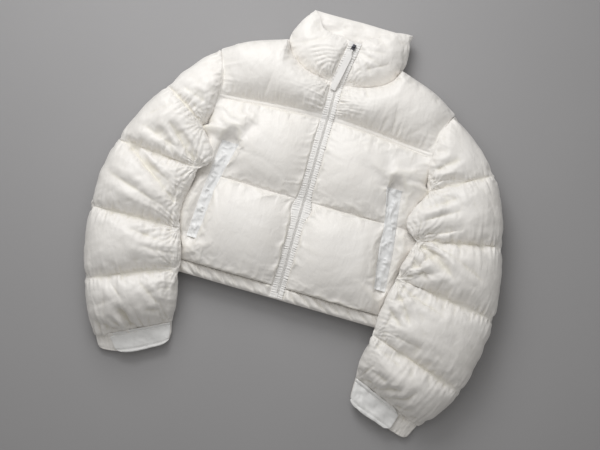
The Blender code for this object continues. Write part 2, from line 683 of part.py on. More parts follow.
def make_collar():
    outer_rows, inner_rows = [], []
    for height in COLLAR_STEPS:
        outer, inner = [], []

        def add(point, reach):
            outer.append(point)
            inner.append(collar_wall(point, height, reach))

        for share in NECK_SHARES:
            across = upper_edge(share, FRONT_NECK)[0] / FRONT_NECK[-1][1]
            add(collar_front(1, height, share), collar_arch(across))
        for share in BACK_NECK_SHARES[-2::-1] + tuple(-s for s in BACK_NECK_SHARES[1:-1]):
            point, across = collar_back(height, share)
            add(point, -collar_arch(across))
        for share in NECK_SHARES[::-1]:
            across = upper_edge(share, FRONT_NECK)[0] / FRONT_NECK[-1][1]
            add(collar_front(-1, height, share), collar_arch(across))
        outer_rows.append(outer)
        inner_rows.append(inner)
    bm = bmesh.new()
    grid_of(bm, outer_rows + inner_rows[::-1] + outer_rows[:1])
    bmesh.ops.remove_doubles(bm, verts=bm.verts, dist=1e-7)
    bmesh.ops.holes_fill(bm, edges=[edge for edge in bm.edges if edge.is_boundary], sides=0)
    finish(bm, "collar", "shell")


# ------------------------------------------------------------------ the zip
def zip_stations():
    """The heights at which the zip bends, the same as the rows of the pieces below it."""
    ys = [0.0025, 0.008, 0.015, 0.022, 0.0262]
    for low, high in ((HEM_TOP, LOW_SEAM), (LOW_SEAM, CHEST_SEAM)):
        ys += [blend(low, high, share) for share in DOME_STEPS[:-1]]
    ys += [yoke_point(0.03, (SEAM_BAND * k, 0.0), FRONT_NECK).y for k in (0.0, 0.5, 1.0)]
    ys += [yoke_point(0.03, (SEAM_BAND, step), FRONT_NECK).y for step in YOKE_STEPS]
    ys += [collar_front(1, height, 0.0).y for height in COLLAR_STEPS[1:-1]]
    return ys


def bed_z(y):
    """Height of the strip below the zip; the hem band's is lower near its edge."""
    if y < HEM_TOP:
        return min(zip_bed(y), MIDDLE + max(hem_z(s * ZIP_HALF, y, HEM_THICK) for s in (1, -1)))
    return zip_bed(y)


def make_zip():
    ys = zip_stations()
    inner_edge = COIL_WIDE / 2 + GAP
    for side, word in ((1, "left"), (-1, "right")):
        rows = []
        for y in ys:
            bed = bed_z(y)
            rows.append([Vector((zip_x(y) + side * x, y, bed))
                         for x in (inner_edge, (inner_edge + ZIP_HALF) / 2, ZIP_HALF - 0.0005)])
        layer("zip_tape_" + word, rows, 2.0 * GAP, TAPE_THICK, "tape")
    box_top = 0.0150
    coil_end = ZIP_TOP_Y - SLIDER_LONG / 2 - GAP
    section = ((-0.5, 0.25), (-0.5, 0.75), (-0.25, 1.0), (0.25, 1.0), (0.5, 0.75), (0.5, 0.25),
               (0.25, 0.0), (-0.25, 0.0))
    bm = bmesh.new()
    rings = []
    for y in [y for y in ys if box_top <= y <= coil_end] + [coil_end]:
        base = bed_z(y) + 2.0 * GAP
        ring = [Vector((zip_x(y) + a * COIL_WIDE, y, base + b * COIL_THICK)) for a, b in section]
        rings.append(ring + ring[:1])
    grid_of(bm, rings)
    bmesh.ops.remove_doubles(bm, verts=bm.verts, dist=1e-7)
    bmesh.ops.holes_fill(bm, edges=[edge for edge in bm.edges if edge.is_boundary], sides=0)
    finish(bm, "zip_coil", "coil")


def block(name, size, centre, turn, bevel, look):
    """A bevelled block: size and centre, turned about z."""
    bm = bmesh.new()
    bmesh.ops.create_cube(bm, size=1.0)
    bmesh.ops.scale(bm, vec=size, verts=bm.verts)
    bmesh.ops.bevel(bm, geom=bm.edges[:], offset=bevel, segments=2, profile=0.6,
                    affect="EDGES", clamp_overlap=True)
    piece = finish(bm, name, look)
    piece.location = centre
    piece.rotation_euler = (0.0, 0.0, turn)
    return piece


def make_zip_box():
    """The stop that holds the zip's two halves at the hem."""
    size = Vector((0.0058, 0.0115, 0.0032))
    y = 0.0085
    block("zip_box", size, (0.0, y, bed_z(y) + 2.0 * GAP + size.z / 2), 0.0, 0.0008, "coil")


# ------------------------------------------------------------------ the pull
def slider_base():
    """Height of the slider's underside, just above the tapes."""
    ends = [zip_bed(ZIP_TOP_Y + s * SLIDER_LONG / 2) for s in (-1, 0, 1)]
    return max(ends) + 4.0 * GAP + TAPE_THICK


def pull_pivot():
    """The hinge's point: in the slider's bridge, over the closed end of the zip."""
    return Vector((zip_x(ZIP_TOP_Y), ZIP_TOP_Y, slider_base() + SLIDER_THICK + 0.0026))


def swept_loop(name, centres, sideways, wire, look):
    """A closed wire of round section through centres that lie in one plane across sideways."""
    rings = []
    count = len(centres)
    for k, centre in enumerate(centres):
        along = (centres[(k + 1) % count] - centres[k - 1]).normalized()
        out = along.cross(sideways).normalized()
        ring = [centre + out * wire * math.cos(2 * math.pi * j / 8)
                + sideways * wire * math.sin(2 * math.pi * j / 8) for j in range(8)]
        rings.append(ring + ring[:1])
    bm = bmesh.new()
    grid_of(bm, rings + rings[:1])
    bmesh.ops.remove_doubles(bm, verts=bm.verts, dist=1e-7)
    return finish(bm, name, look)


def make_slider():
    """The slider's body, and the bridge over it that the link hangs in."""
    y = ZIP_TOP_Y
    base = slider_base()
    turn = PULL_HEADING + math.radians(90.0)
    centre = Vector((zip_x(y), y, base + SLIDER_THICK / 2))
    block("zip_slider", (SLIDER_WIDE, SLIDER_LONG, SLIDER_THICK), centre, turn, 0.0012, "metal")
    heading = Vector((math.cos(PULL_HEADING), math.sin(PULL_HEADING), 0.0))
    across = Vector((-heading.y, heading.x, 0.0))
    # the bridge: a flat hoop, standing on the body, open across the pull's heading
    foot = Vector((centre.x, centre.y, base + SLIDER_THICK + GAP))
    half_long, high, strip = 0.0036, 0.0048, 0.0010
    profile = ((-half_long, 0.0), (-half_long * 0.92, high * 0.7), (-half_long * 0.6, high),
               (half_long * 0.6, high), (half_long * 0.92, high * 0.7), (half_long, 0.0))
    inner = ((half_long - strip, 0.0008), (half_long * 0.86 - strip, high * 0.62),
             (half_long * 0.5 - strip / 2, high - strip), (-half_long * 0.5 + strip / 2, high - strip),
             (-half_long * 0.86 + strip, high * 0.62), (-half_long + strip, 0.0008))
    rings = []
    for wide in (-0.0011, 0.0011):
        outer = [foot + heading * a + across * wide + Vector((0, 0, b)) for a, b in profile]
        hole = [foot + heading * a + across * wide + Vector((0, 0, b)) for a, b in inner]
        rings.append((outer, hole))
    # four rows round the hoop's section, closed on themselves
    rows = [rings[0][0], rings[1][0], rings[1][1][::-1], rings[0][1][::-1], rings[0][0]]
    bm = bmesh.new()
    grid_of(bm, [row + row[:1] for row in rows])
    bmesh.ops.remove_doubles(bm, verts=bm.verts, dist=1e-7)
    finish(bm, "zip_bridge", "metal")


def make_pull():
    pivot = pull_pivot()
    heading = Vector((math.cos(PULL_HEADING) * math.cos(RIBBON_SLOPE),
                      math.sin(PULL_HEADING) * math.cos(RIBBON_SLOPE), -math.sin(RIBBON_SLOPE)))
    across = Vector((-math.sin(PULL_HEADING), math.cos(PULL_HEADING), 0.0))
    normal = heading.cross(across)
    if normal.z < 0.0:
        normal = -normal
    # the link: a rounded wire loop whose upper bar lies in the bridge
    half, corner = LINK_WIDE / 2, 0.0020
    centres = []
    for cx, cy, start in ((half - corner, corner, -90), (half - corner, LINK_LONG - corner, 0),
                          (corner - half, LINK_LONG - corner, 90), (corner - half, corner, 180)):
        for k in range(4):
            angle = math.radians(start + 30 * k)
            centres.append(pivot + across * (cx + corner * math.cos(angle))
                           + heading * (cy + corner * math.sin(angle)))
    swept_loop("zip_link", centres, normal, LINK_WIRE, "metal")
    # the ribbon: one tape folded through the link, its two layers one above the other
    bar = pivot + heading * LINK_LONG
    bend = LINK_WIRE + GAP + RIBBON_THICK / 2 + 0.0002
    layer_off = RIBBON_THICK / 2 + GAP
    upper = [(RIBBON_LONG * share, layer_off) for share in (1.0, 0.8, 0.6, 0.4, 0.22, 0.13, 0.07)]
    wrap = [(-bend * math.sin(math.radians(a)), bend * math.cos(math.radians(a)))
            for a in range(-30, 211, 30)]
    path = upper + wrap + [(s, -n) for s, n in upper[::-1]]
    rows = []
    for k, (s, n) in enumerate(path):
        before, after = path[max(k - 1, 0)], path[min(k + 1, len(path) - 1)]
        tangent = Vector((after[0] - before[0], after[1] - before[1])).normalized()
        side_s, side_n = -tangent.y * RIBBON_THICK / 2, tangent.x * RIBBON_THICK / 2
        half = blend(RIBBON_NECK_HALF, RIBBON_HALF, ease((s - 0.003) / 0.012))
        ring = []
        for a, b in ((-1, 1), (1, 1), (1, -1), (-1, -1)):
            ring.append(bar + across * half * a + heading * (s + side_s * b)
                        + normal * (n + side_n * b))
        rows.append(ring + ring[:1])
    bm = bmesh.new()
    grid_of(bm, rows)
    bmesh.ops.remove_doubles(bm, verts=bm.verts, dist=1e-7)
    bmesh.ops.holes_fill(bm, edges=[edge for edge in bm.edges if edge.is_boundary], sides=0)
    finish(bm, "zip_ribbon", "tape")


# ------------------------------------------------------------------ the whole jacket
def material(name, look):
    made = bpy.data.materials.new(name)
    made.use_nodes = True
    shader = made.node_tree.nodes["Principled BSDF"]
    colour, rough, metal = look
    shader.inputs["Base Color"].default_value = (*colour, 1.0)
    shader.inputs["Roughness"].default_value = rough
    shader.inputs["Metallic"].default_value = metal
    made.diffuse_color = (*colour, 1.0)
    return made


for old in list(bpy.data.objects):
    bpy.data.objects.remove(old, do_unlink=True)

MATERIALS = {name: material(name, look) for name, look in
             (("shell", SHELL), ("trim", TRIM), ("tape", TAPE), ("coil", COIL),
              ("metal", GUNMETAL))}
GARMENT = bpy.data.objects.new("garment", None)
GARMENT.location = (0.0, -REST_Y, 0.0)
bpy.context.scene.collection.objects.link(GARMENT)

make_back()
make_fronts()
make_yokes()
make_hems()
make_sleeves()
make_cuffs()
make_collar()
make_zip()
make_zip_box()
make_slider()
make_pull()
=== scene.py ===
"""The looks of a cropped puffer jacket that lies flat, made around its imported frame.

The file is laid out as an add-on and run as a script. Each operator makes one kind of piece.
Metres, +Z up. The jacket's plan has x across it towards the wearer's left and y from the hem's
edge (0) towards the collar; the finished meshes lie REST_Y lower in y, where the frame is.
"""

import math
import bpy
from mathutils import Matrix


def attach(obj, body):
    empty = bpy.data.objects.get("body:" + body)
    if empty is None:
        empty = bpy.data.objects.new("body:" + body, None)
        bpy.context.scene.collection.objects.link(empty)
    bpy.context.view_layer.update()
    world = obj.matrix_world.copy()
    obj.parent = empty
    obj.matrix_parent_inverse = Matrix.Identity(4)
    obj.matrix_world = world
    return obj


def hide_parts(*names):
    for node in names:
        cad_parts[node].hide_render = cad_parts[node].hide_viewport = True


bl_info = {
    "name": "Laid puffer jacket",
    "version": (1, 0, 0),
    "blender": (4, 5, 0),
    "location": "3D View > Sidebar > Jacket",
    "description": "Makes the padded pieces, zip, sewing and stage of a jacket that lies flat",
    "category": "Add Mesh",
}

import bmesh
import bpy
import numpy as np
from bpy.props import FloatProperty, FloatVectorProperty, IntProperty, PointerProperty
from mathutils import Vector, noise
from mathutils.bvhtree import BVHTree

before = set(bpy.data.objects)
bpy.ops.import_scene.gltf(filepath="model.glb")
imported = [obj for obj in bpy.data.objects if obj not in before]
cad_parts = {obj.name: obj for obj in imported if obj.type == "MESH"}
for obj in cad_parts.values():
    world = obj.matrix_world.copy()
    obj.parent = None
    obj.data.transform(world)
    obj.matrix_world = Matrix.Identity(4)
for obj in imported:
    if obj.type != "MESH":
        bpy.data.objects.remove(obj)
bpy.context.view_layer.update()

# ------------------------------------------------------------------ the cut, as in the frame
SIDES = ((1, "left"), (-1, "right"))
GAP = 0.0003                # between thin layers
SEWN_OVER = 0.0004          # how far two padded pieces run into their seam
REST_Y = 0.130              # the frame's origin, this far above the hem
MIDDLE = 0.0300             # height of the fronts' inner faces; the back's lie GAP lower
HEM_TOP = 0.028
LOW_SEAM = 0.227            # quilting seam between the two lower baffles
CHEST_SEAM = 0.415          # seam below the yoke, at the zip
CHEST_DROP = 0.021          # how much lower it is at the armhole
SEAM_BAND = 0.012           # flat double-stitched band above the chest seam
YOKE_HALF = 0.2455
FRONT_SEAM_Z = 0.050
FRONT_EDGE_Z = 0.036
FRONT_REACH = 0.080         # a baffle rolls off to its edges over this distance
BACK_SEAM_Z = 0.015
BACK_CREST_Z = -0.006       # below the surface: the back settles flat on it
BACK_EDGE_Z = 0.022
BACK_REACH = 0.060
ZIP_HALF = 0.0145           # half-width of the flat strip that carries the zip
TAPE_THICK = 0.0018
ZIP_LEAN = 0.013            # the closed zip leans this far to +x between neck seam and slider
NECK_Y = 0.502
ZIP_TOP_Y = 0.586           # the slider's place
ARMPIT_Y = 0.333
SHOULDER_Y = 0.508
ARMHOLE_RISE = 0.042
ARMHOLE_FALL = 0.028
SIDE = ((0.0, 0.234), (0.05, 0.2360), (0.12, 0.2465), (0.20, 0.2520), (0.27, 0.2538),
        (ARMPIT_Y, 0.2545))
ARMHOLE = ((ARMPIT_Y, 0.2545), (0.380, 0.246), (0.454, 0.251), (SHOULDER_Y, 0.274))
NECK_SHARE = 0.56
FRONT_NECK = ((0.0, 0.0, NECK_Y), (0.18, 0.045, 0.506), (0.34, 0.085, 0.518), (0.46, 0.117, 0.540),
              (NECK_SHARE, 0.134, 0.572))
NECK_LINE = [(max(row[1], ZIP_HALF), row[2]) for row in FRONT_NECK]
BACK_NECK = ((0.0, 0.0, 0.585), (0.30, 0.072, 0.582), (NECK_SHARE, 0.134, 0.572))
SHOULDER = ((NECK_SHARE, 0.134, 0.572), (0.80, 0.219, 0.542), (1.0, 0.274, SHOULDER_Y))
STRIP_SHARE = 0.059         # the yoke's share that the zip strip takes
CREST_Z = {"low": 0.091, "chest": 0.090, "yoke": 0.084}
WELTS = {
    1: ((0.087, 0.2015, 0.2270), (0.172, 0.1900, 0.2200), (0.225, 0.1865, 0.2130),
        (0.302, 0.1690, 0.2040)),
    -1: ((0.087, 0.2040, 0.2270), (0.172, 0.1990, 0.2230), (0.234, 0.1905, 0.2180),
         (0.302, 0.1730, 0.2110)),
}
POCKET_Z = 0.056
POCKET_FADE_Y = 0.040
POCKET_TOP_FADE = 0.046
FLANK_PUFF = 0.60           # how much of its fullness the flank outside a welt has
POCKET_FADE_X = 0.042
SLEEVE_SEAMS = {
    1: ((0.2600, 0.320, 0.393, 0.396, 0.080, 0.031, 0.055, 0.045),
        (0.2620, 0.206, 0.447, 0.246, 0.084, 0.031, 0.074, 0.050),
        (0.2410, 0.117, 0.469, 0.088, 0.082, 0.031, 0.070, 0.050),
        (0.2240, -0.015, 0.442, -0.083, 0.076, 0.029, 0.066, 0.046),
        (0.2190, -0.118, 0.378, -0.183, 0.025, 0.0, 0.012, 0.012)),
    -1: ((0.2620, 0.327, 0.363, 0.391, 0.080, 0.031, 0.055, 0.045),
         (0.2420, 0.228, 0.434, 0.243, 0.084, 0.031, 0.074, 0.050),
         (0.2430, 0.091, 0.448, 0.086, 0.082, 0.031, 0.070, 0.050),
         (0.2200, 0.009, 0.414, -0.071, 0.076, 0.029, 0.066, 0.046),
         (0.2090, -0.113, 0.364, -0.189, 0.025, 0.0, 0.012, 0.012)),
}
CAP_RISE = 0.019
CUFF_END = {1: (0.218, -0.172, 0.360, -0.221), -1: (0.199, -0.156, 0.318, -0.222)}
SLEEVE_BULGE_OUT = 0.007
SLEEVE_BULGE_IN = {1: (0.0, 0.030, 0.002, 0.004, 0.005), -1: (0.0, 0.030, -0.010, 0.003, 0.005)}
SLEEVE_SEAM_LOW = 0.010
SLEEVE_SINK = 0.018
SLOT_HALF = 0.0015
SLOT_SHARE = 0.72
CUFF_OVER = 0.0018          # how far a cuff runs into its sleeve
CUFF_TOP = 0.020
CUFF_SIDE = 0.010
CUFF_SLOT = 0.0016
CUFF_CORNER = {1: 0.002, -1: 0.026}     # how far its outer corner stands out
STRAP_TURN = {1: (5 / 28, 13 / 28), -1: (4 / 28, 13 / 28)}
COLLAR = (
    (0.00, 0.134, -0.134, 0.047, 0.0300, 0.014, 0.0008),
    (0.20, 0.138, -0.132, 0.066, 0.0330, 0.004, 0.0060),
    (0.50, 0.138, -0.122, 0.074, 0.0350, -0.004, 0.0100),
    (0.80, 0.135, -0.106, 0.072, 0.0340, 0.000, 0.0110),
    (1.00, 0.138, -0.096, 0.058, 0.0320, 0.010, 0.0110),
)
COLLAR_LENS_Z = 0.034
COLLAR_WALL = 0.014
COLLAR_LEAST = 0.0025
COLLAR_TOP = {
    1: ((0.0, 0.600), (0.30, 0.622), (0.62, 0.647), (1.0, 0.658)),
    -1: ((0.0, 0.600), (0.25, 0.605), (0.70, 0.615), (0.86, 0.642), (1.0, 0.656)),
}
COLLAR_BACK_TOP = ((0.0, 0.660), (1.0, 0.657))
SLIDER_LONG = 0.0125
SLIDER_THICK = 0.0044
LINK_WIRE = 0.0006
LINK_LONG = 0.0100
RIBBON_LONG = 0.096
RIBBON_HALF = 0.0068
RIBBON_NECK_HALF = 0.0024
RIBBON_THICK = 0.0010
RIBBON_SLOPE = math.radians(7.0)
PULL_HEADING = math.radians(-101.0)


def in_metres(parts, rows):
    """A table of whole numbers, each column in that part of a metre."""
    return [[value / part for value, part in zip(row, parts)] for row in rows]


# soft troughs in the shell, as in the frame: x0, y0, x1, y1, depth, half-width
FOLDS = in_metres((1000, 1000, 1000, 1000, 10000, 1000), (
    (168, 306, 112, 335, 60, 14), (176, 316, 150, 370, 50, 13), (-172, 316, -142, 372, 70, 14),
    (-192, 234, -150, 264, 50, 13), (-318, 316, -238, 236, 150, 17),
    (-365, 288, -285, 272, 110, 16), (-403, 243, -277, 155, 130, 17),
    (-330, -108, -271, -133, 90, 15), (-305, 62, -248, 80, 80, 15), (-290, 400, -268, 350, 80, 15),
    (246, 104, 370, 90, 80, 15), (262, 200, 335, 160, 150, 17), (268, 232, 340, 266, 110, 16),
    (236, 20, 305, 52, 90, 16), (285, 322, 335, 290, 80, 16), (275, 372, 300, 420, 70, 15),
))
# sharper creases, which only the looks have: x0, y0, x1, y1, depth, half-width
CREASES = in_metres((1000, 1000, 1000, 1000, 10000, 10000), (
    (-325, 307, -240, 233, 90, 70), (-379, 313, -330, 350, 45, 90), (-375, 284, -262, 244, 55, 80),
    (-409, 247, -268, 146, 90, 70), (-426, 167, -290, 126, 60, 90), (-352, 210, -262, 168, 50, 70),
    (-338, 60, -262, 56, 50, 80), (-300, 30, -245, 34, 35, 60), (-296, -39, -236, -81, 50, 70),
    (-318, -116, -284, -146, 60, 80), (-374, -154, -307, -170, 55, 80),
    (-328, 394, -266, 372, 50, 80), (-332, 372, -268, 352, 45, 70),
    (-360, -85, -345, -145, 30, 90), (252, 362, 300, 400, 65, 70), (262, 340, 322, 362, 65, 70),
    (262, 204, 330, 180, 85, 80), (300, 186, 350, 152, 65, 80), (242, 119, 300, 132, 60, 80),
    (262, 168, 300, 130, 80, 80), (245, 108, 350, 70, 70, 80), (246, 98, 290, 30, 65, 80),
    (240, 0, 330, -18, 45, 90), (250, -40, 330, -75, 40, 100), (235, -85, 300, -120, 45, 90),
    (262, 216, 345, 252, 70, 70), (166, 308, 118, 334, 55, 60), (170, 312, 158, 362, 45, 50),
    (186, 318, 200, 360, 32, 50), (-174, 316, -146, 362, 50, 50), (-166, 300, -120, 288, 60, 60),
    (-174, 266, -130, 252, 60, 60), (20, 36, 62, 75, 40, 60), (-20, 36, -60, 80, 40, 60),
    (18, 50, 50, 105, 30, 60), (-18, 54, -45, 110, 35, 60), (190, 85, 150, 50, 40, 80),
    (212, 78, 180, 40, 40, 80), (24, 582, 86, 560, 30, 50), (24, 578, 71, 536, 34, 50),
    (22, 574, 45, 529, 28, 50), (26, 585, 90, 591, 20, 50), (-79, 557, -49, 568, 18, 34),
    (-49, 568, -18, 573, 14, 30), (-73, 548, -41, 561, 20, 32), (-41, 561, -10, 566, 18, 30),
    (-65, 540, -36, 554, 22, 34), (-36, 554, -9, 559, 16, 30), (-59, 530, -36, 545, 20, 32),
    (-36, 545, -14, 549, 16, 28), (-47, 520, -34, 537, 18, 30), (-34, 537, -16, 541, 12, 28),
    (50, 540, 104, 572, 30, 70), (-110, 560, -60, 590, 30, 70), (-216, 205, -206, 110, 30, 60),
    (-234, 200, -222, 120, 30, 60), (216, 200, 208, 110, 30, 60), (226, 290, 214, 215, 30, 60),
    (-226, 316, -196, 300, 30, 60), (284, 219, 348, 192, 85, 70), (348, 192, 415, 161, 60, 80),
    (250, 128, 302, 188, 75, 70), (262, 126, 335, 158, 55, 70), (262, 250, 330, 292, 60, 70),
    (258, 280, 318, 318, 50, 70), (246, 70, 292, 96, 45, 60), (240, 50, 278, 16, 50, 60),
    (168, 290, 124, 296, 60, 60), (166, 262, 132, 256, 50, 60), (-200, 326, -226, 366, 32, 50),
    (-186, 322, -188, 380, 30, 50), (214, 326, 236, 372, 34, 50), (150, 190, 186, 196, 40, 60),
    (236, -116, 264, -125, 60, 70), (258, -134, 314, -114, 75, 70), (272, -151, 332, -130, 80, 70),
    (330, -131, 347, -106, 50, 80), (288, -160, 350, -153, 75, 70), (330, -176, 372, -165, 60, 70),
    (-318, -112, -286, -145, 60, 60), (-334, -144, -308, -152, 70, 60),
    (-343, -160, -304, -168, 60, 60), (-298, -150, -268, -146, 60, 60),
    (-352, -60, -318, -90, 50, 80), (-262, -100, -232, -94, 50, 60),
))
# pinched points with ridges that fan out from them: x, y, reach, ridges per turn, depth
FANS = in_metres((1000, 1000, 1000, 1, 10000), (
    (256, 328, 60, 26, 22), (-256, 330, 55, 26, 22), (264, 205, 50, 30, 30),
    (-242, 229, 55, 30, 30), (242, 117, 45, 28, 26), (-245, 91, 50, 30, 30),
    (-256, 150, 30, 24, 30), (224, -12, 35, 26, 18), (-221, 8, 40, 30, 22), (172, 306, 40, 28, 20),
    (-176, 306, 40, 28, 18), (16, 34, 45, 34, 16), (-16, 34, 45, 34, 16), (15, 410, 35, 34, 12),
    (-15, 410, 35, 34, 12), (-16, 222, 35, 34, 14), (16, 222, 35, 34, 14), (15, 500, 35, 34, 16),
    (-15, 500, 40, 34, 18),
))

SLEEVE_RING = 128           # points round a sleeve
FRONT_COUNTS = (3, 54, 6, 12)       # columns in the zip strip, the baffle, the welt, the side
YOKE_COUNTS = (3, 36, 30)   # columns in the zip strip, below the neck, below the shoulder
BAND_STITCHES = (0.0022, SEAM_BAND - 0.0022)        # the band's two lines of stitches
HEM_LUMP = 0.0330           # from one lump of the gathered band to the next
HEM_THICK = 0.016
MEET = 0.007                # how far the body's side swells in below a sleeve's inner side
INNER_SIDES = {}            # each sleeve's inner side, worked out once
UNDERARM = 0.80             # the underarm seam lies here, across the sleeve's upper side
CRUMPLE_TURN = {1: (0.5, 0.6, -0.5, -0.5, -0.4), -1: (1.0, 0.8, 0.6, 0.3, 0.5)}
RIB_PITCH = 0.0052          # the zip tapes pucker this often along their stitches
THREAD_LIFT = 0.00025       # how far a stitch's middle lies off the cloth
THREAD_TWIST = 0.0004       # pitch of the sewing thread's twist
HOLLOW_ROUNDS = 14          # rounds of smoothing that find the shell's hollows
HOLLOW_DEEP = 0.0022        # a hollow this deep gets the whole painted crease shade
CAMERA_TURN = math.radians(16.0)    # the picture's up direction, against the jacket's
CAMERA_HIGH = 85.5          # degrees above the floor
CAMERA_VIEW = 40.0          # degrees across the picture
CAMERA_FAR = 1.833
WAITING = []                # padded pieces that still wait for their filling


# ------------------------------------------------------------------ small maths
def blend(a, b, share):
    """The value at a share of the way from a to b."""
    return a + (b - a) * share


def held(share):
    """A share kept between 0 and 1."""
    return min(max(share, 0.0), 1.0)


def ease(share):
    """A soft step from 0 to 1."""
    share = held(share)
    return share * share * (3.0 - 2.0 * share)


def bump(value, middle, half):
    """A rounded ridge of height 1 at middle."""
    return math.exp(-((value - middle) / half) ** 2)


def lumps(*place):
    """Smooth noise at a place, about -1 to 1."""
    return noise.noise(Vector(place))


def dome(share):
    """A padded baffle's rise between its two seams, 0 to 1."""
    return math.sqrt(max(0.0, 1.0 - (2.0 * share - 1.0) ** 2))


def roll(distance, reach):
    """A padded edge's rise, from 0 at the edge to 1 at reach."""
    return math.sqrt(1.0 - (1.0 - held(distance / reach)) ** 2)


def through(rows, key):
    """The smooth curve through rows of (key, values...), read at key and held at its ends."""
    last = len(rows) - 1
    key = min(max(key, rows[0][0]), rows[last][0])
    k = 0
    while k < last - 1 and rows[k + 1][0] <= key:
        k += 1
    here, there = rows[k], rows[k + 1]
    before, after = rows[max(k - 1, 0)], rows[min(k + 2, last)]
    span = there[0] - here[0]
    s = (key - here[0]) / span
    step, start, stop = s * s * (3 - 2 * s), span * s * (1 - s) ** 2, span * s * s * (1 - s)
    values = [here[j] + (there[j] - here[j]) * step
              + start * (there[j] - before[j]) / (there[0] - before[0])
              - stop * (after[j] - here[j]) / (after[0] - here[0])
              for j in range(1, len(here))]
    return values[0] if len(values) == 1 else values


def spread(count, closeness):
    """count + 1 shares from 0 to 1, closer at both ends by closeness (0 to 1)."""
    return [blend(k / count, (1.0 - math.cos(math.pi * k / count)) / 2.0, closeness)
            for k in range(count + 1)]


def off_line(x, y, line):
    """How far along a line a plan point lies (0 to 1), and how far off it."""
    x0, y0, x1, y1 = line[:4]
    dx, dy = x1 - x0, y1 - y0
    share = held(((x - x0) * dx + (y - y0) * dy) / (dx * dx + dy * dy))
    return share, math.hypot(x - x0 - dx * share, y - y0 - dy * share)


def fold_depth(x, y):
    """How far the soft folds push the shell in at a plan point."""
    depth = 0.0
    for fold in FOLDS:
        half = fold[5]
        if min(fold[0], fold[2]) - 3 * half < x < max(fold[0], fold[2]) + 3 * half:
            share, away = off_line(x, y, fold)
            depth += fold[4] * (0.45 + 0.55 * math.sin(math.pi * share)) * bump(away, 0.0, half)
    return depth


def soft(share):
    """The soft step of ease, for arrays."""
    share = np.clip(share, 0.0, 1.0)
    return share * share * (3.0 - 2.0 * share)


def ripple(u, v, seed):
    """Smooth noise over arrays, about -1 to 1, with one wave or so to each unit of u and v."""
    i, j = np.floor(u), np.floor(v)
    f, g = u - i, v - j

    def corner(a, b):
        turn = np.sin((i + a) * 127.1 + (j + b) * 311.7 + seed * 74.7) * 43758.5453
        turn = 2.0 * math.pi * (turn - np.floor(turn))
        return np.cos(turn) * (f - a) + np.sin(turn) * (g - b)

    s, t = soft(f), soft(g)
    low = corner(0, 0) * (1 - s) + corner(1, 0) * s
    high = corner(0, 1) * (1 - s) + corner(1, 1) * s
    return 1.5 * (low * (1 - t) + high * t)


def beside(x, y, path):
    """How far along a path of plan points each point lies, and how far off it."""
    run, best, start = np.zeros_like(x), np.full_like(x, 9.0), 0.0
    for (x0, y0), (x1, y1) in zip(path[:-1], path[1:]):
        dx, dy = x1 - x0, y1 - y0
        long = math.hypot(dx, dy)
        if long < 1e-6:
            continue
        share = np.clip(((x - x0) * dx + (y - y0) * dy) / long ** 2, 0.0, 1.0)
        away = np.hypot(x - x0 - dx * share, y - y0 - dy * share)
        run = np.where(away < best, start + share * long, run)
        best = np.minimum(best, away)
        start += long
    return run, best


def puckers(x, y, seam, seed):
    """Gathers that run off a seam: round ridges with sharp valleys between them."""
    path, pitch, reach, height, *groove = seam
    run, away = beside(x, y, path)
    wave = ripple(run / pitch, away / (6.0 * pitch), seed)
    wave += 0.45 * ripple(run / (0.47 * pitch), away / (4.0 * pitch), seed + 9.0)
    length = 1.0 + 0.7 * ripple(run / (1.7 * pitch), 0.0 * run, seed + 3.0)
    ridges = height * (1.7 * np.abs(wave) - 0.45) * np.exp(-away / (reach * length)) \
        * soft(away / 0.005)
    return ridges - sum(groove) * np.exp(-(away / 0.0020) ** 2)


def creases(x, y):
    """Sharp creases with raised lips; below 0 where the shell goes in."""
    height = np.zeros_like(x)
    wander = ripple(x * 45, y * 45, 5.0)
    for x0, y0, x1, y1, depth, half in CREASES:
        run, away = beside(x, y, ((x0, y0), (x1, y1)))
        share = run / math.hypot(x1 - x0, y1 - y0)
        away = np.abs(away + 0.3 * half * wander * (away > 0.3 * half))
        banks = 0.38 * np.exp(-((away - 2.1 * half) / half) ** 2)
        height -= depth * (np.exp(-away / half) - banks) \
            * (0.30 + 0.70 * np.sin(math.pi * np.clip(share, 0.001, 0.999)) ** 0.7)
    return height


def fans(x, y):
    """Pleats that fan out from pinched points."""
    height = np.zeros_like(x)
    for fan_x, fan_y, reach, ridges, deep in FANS:
        away = np.hypot(x - fan_x, y - fan_y)
        turn = np.arctan2(y - fan_y, x - fan_x) + 0.22 * ripple(x * 34, y * 34, fan_x * 90)
        length = reach * (1.0 + 0.6 * ripple(turn * 3.0, 0.0 * turn, fan_y * 70))
        height += deep * (1.5 * np.abs(np.sin(0.36 * ridges * turn)) - 0.9) \
            * np.exp(-away / length) * soft((away - 0.003) / 0.016)
    return height


def turned(x, y, turn):
    """Plan points seen along and across the direction turn."""
    return x * math.cos(turn) + y * math.sin(turn), y * math.cos(turn) - x * math.sin(turn)


